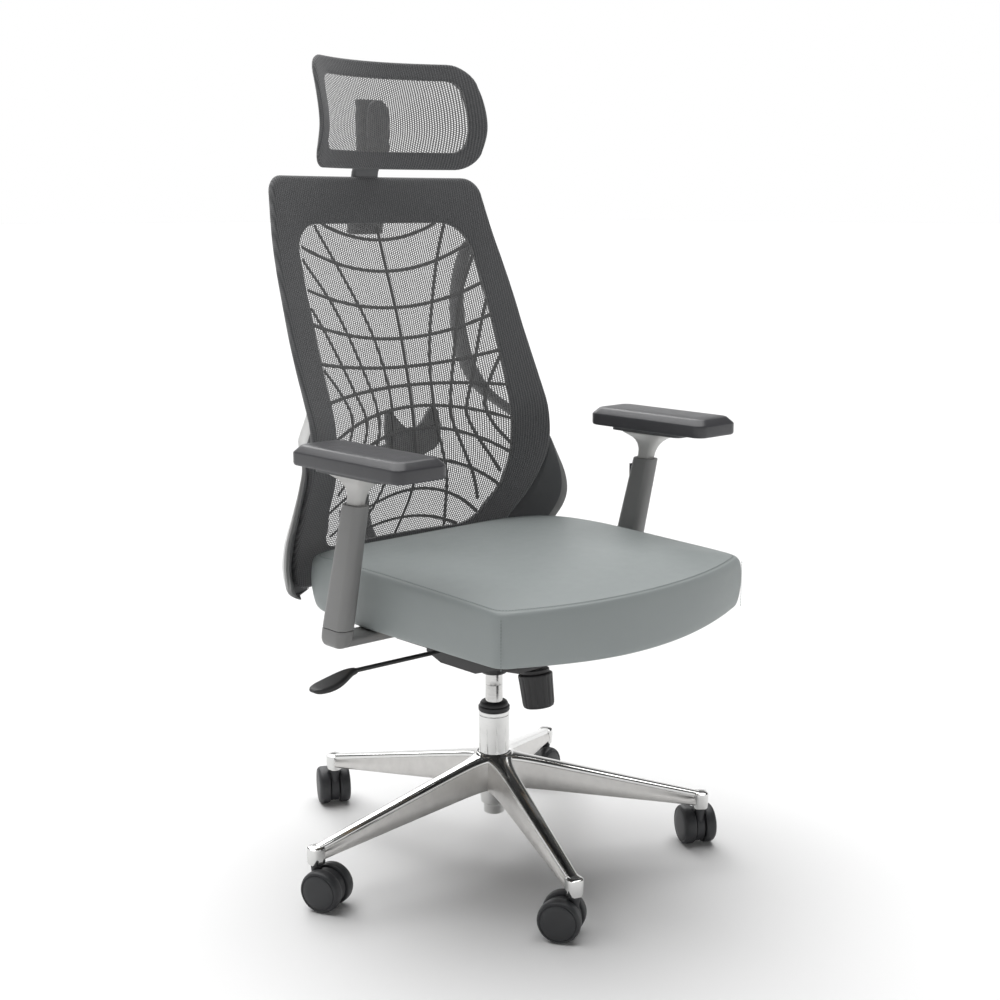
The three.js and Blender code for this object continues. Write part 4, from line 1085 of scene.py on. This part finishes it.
def build_back():
    outer = panel_outline(BACK_BOTTOM, BACK_TOP, 34, 30, back_half_width, 40)
    inner = panel_outline(
        WINDOW_BOTTOM, WINDOW_TOP, WINDOW_LOW_CORNER, WINDOW_HIGH_CORNER, window_half_width, 40)
    wrapped_frame("back_band", outer, inner, back_surface, FRAME_THICKNESS, "back", "back_frame")
    sheet = stretched_net("back_net", inner, back_surface, "back", "back_mesh")
    lines = web_lines()
    flat = flat_size(back_surface, BACK_NET_HALF, WINDOW_BOTTOM, WINDOW_TOP)
    for side, sign in SIDES:
        build_side_arm(side, sign)
    softened("back_yoke", "back_bridge", GREY, "back")
    softened("lumbar_plate", "lumbar_pad", DARK, "back")
    softened("lumbar_spring", "lumbar_stem", DARK, "back", 0.8)
    loft("neck_socket", [
        level(rounded(w, d, 9), 0, 319, z) for z, w, d in
        ((996, 52, 22), (996.6, 58, 27), (999, 62, 30), (1080, 62, 30), (1083.4, 60, 28), (1084, 56, 24))
    ], DARK, "back")


# ---------------------------------------------------------------- headrest


def build_headrest():
    outer = panel_outline(HEAD_BOTTOM, HEAD_TOP, 32, 38, head_half_width, 16)
    inner = panel_outline(HEAD_BOTTOM + HEAD_BAND, HEAD_TOP - HEAD_BAND, 18, 22,
                          lambda z: head_half_width(z) - HEAD_BAND, 16)
    wrapped_frame("headrest_band", outer, inner, head_surface, HEAD_THICKNESS, "headrest", "headrest_frame")
    sheet = stretched_net("headrest_net", inner, head_surface, "headrest", "headrest_mesh")
    flat = flat_size(head_surface, HEAD_NET_HALF, HEAD_BOTTOM + HEAD_BAND, HEAD_TOP - HEAD_BAND)
    loft("headrest_plate", [
        [(u, y, 1161 + v) for u, v in rounded(44 - grow, 103 - grow, 21.9 - grow / 2)]
        for y, grow in ((277.4, 2.4), (278, 0.8), (279, 0), (282, 0), (283, 0.8), (283.4, 2.4))
    ], DARK, "headrest")
    softened("headrest_carrier", "headrest_bracket", DARK, "headrest_slider", 1.6)
    bar = softened("neck_bar", "neck_post", DARK, "back", 0.8)
    for vertex in bar.data.vertices:
        vertex.co.x = AXIS.x + (vertex.co.x - AXIS.x) * NECK_SPREAD


# ---------------------------------------------------------------- camera, light and floor

LENS = 55.61
SENSOR_WIDTH = 36
CAMERA_SPOT = (-1625.1, -1766.1, 1042)
CAMERA_HEADING = math.radians(42.85)  # clockwise from straight towards the back
CAMERA_TILT = math.radians(10.767)  # downward
FLOOR_REACH = 80  # metres from the middle to each side, so that no edge shows
SKY_FADE = {"From Min": 0.12, "From Max": 0.42, "To Min": 1.0, "To Max": 0.08}
SUNS = (  # name, where it shines from, strength, spread in degrees
    ("overhead", (200, 800, 2300), 3.9, 75),
    ("rim", (900, 2200, 1500), 0.5, 30),
)


def build_sky():
    """A studio dome: white round the horizon, dim overhead, so that polished metal mirrors something dark."""
    world = bpy.data.worlds.new("studio")
    bpy.context.scene.world = world
    world.use_nodes = True
    nodes, links = world.node_tree.nodes, world.node_tree.links
    direction = nodes.new("ShaderNodeTexCoord")
    split = nodes.new("ShaderNodeSeparateXYZ")
    fade = nodes.new("ShaderNodeMapRange")
    fade.interpolation_type = "SMOOTHSTEP"
    for name, value in SKY_FADE.items():
        fade.inputs[name].default_value = value
    links.new(direction.outputs["Generated"], split.inputs["Vector"])
    links.new(split.outputs["Z"], fade.inputs["Value"])
    links.new(fade.outputs["Result"], nodes["Background"].inputs["Strength"])
    nodes["Background"].inputs["Color"].default_value = (1, 1, 1, 1)
    bpy.context.scene.view_settings.view_transform = "Standard"


def build_camera():
    camera_data = bpy.data.cameras.new("camera")
    camera = bpy.data.objects.new("camera", camera_data)
    bpy.context.scene.collection.objects.link(camera)
    bpy.context.scene.camera = camera
    camera_data.lens = LENS
    camera_data.sensor_width = SENSOR_WIDTH
    camera.location = place(*CAMERA_SPOT)
    look = Vector((
        math.sin(CAMERA_HEADING) * math.cos(CAMERA_TILT),
        math.cos(CAMERA_HEADING) * math.cos(CAMERA_TILT),
        -math.sin(CAMERA_TILT),
    ))
    camera.rotation_euler = look.to_track_quat("-Z", "Y").to_euler()


def build_floor():
    floor_mesh = bpy.data.meshes.new("floor")
    reach = FLOOR_REACH
    corners = [(-reach, -reach, 0), (reach, -reach, 0), (reach, reach, 0), (-reach, reach, 0)]
    floor_mesh.from_pydata(corners, [], [(0, 1, 2, 3)])
    floor = bpy.data.objects.new("floor", floor_mesh)
    bpy.context.scene.collection.objects.link(floor)
    pale = Nodes("pale_floor")
    pale.set(Base_Color=(0.79, 0.79, 0.79, 1), Roughness=0.9)
    floor_mesh.materials.append(pale.material)


def build_suns():
    for name, spot, strength, spread in SUNS:
        lamp = bpy.data.lights.new(name, "SUN")
        lamp.energy, lamp.angle = strength, math.radians(spread)
        light = bpy.data.objects.new(name, lamp)
        light.location = place(*spot)
        light.rotation_euler = (-light.location).to_track_quat("-Z", "Y").to_euler()
        bpy.context.scene.collection.objects.link(light)


build_camera()
build_sky()
build_floor()
build_suns()
build_base()
build_casters()
build_mechanism()
build_seat()
for arm_side, arm_sign in SIDES:
    build_arm(arm_side, arm_sign)
build_back()
build_headrest()
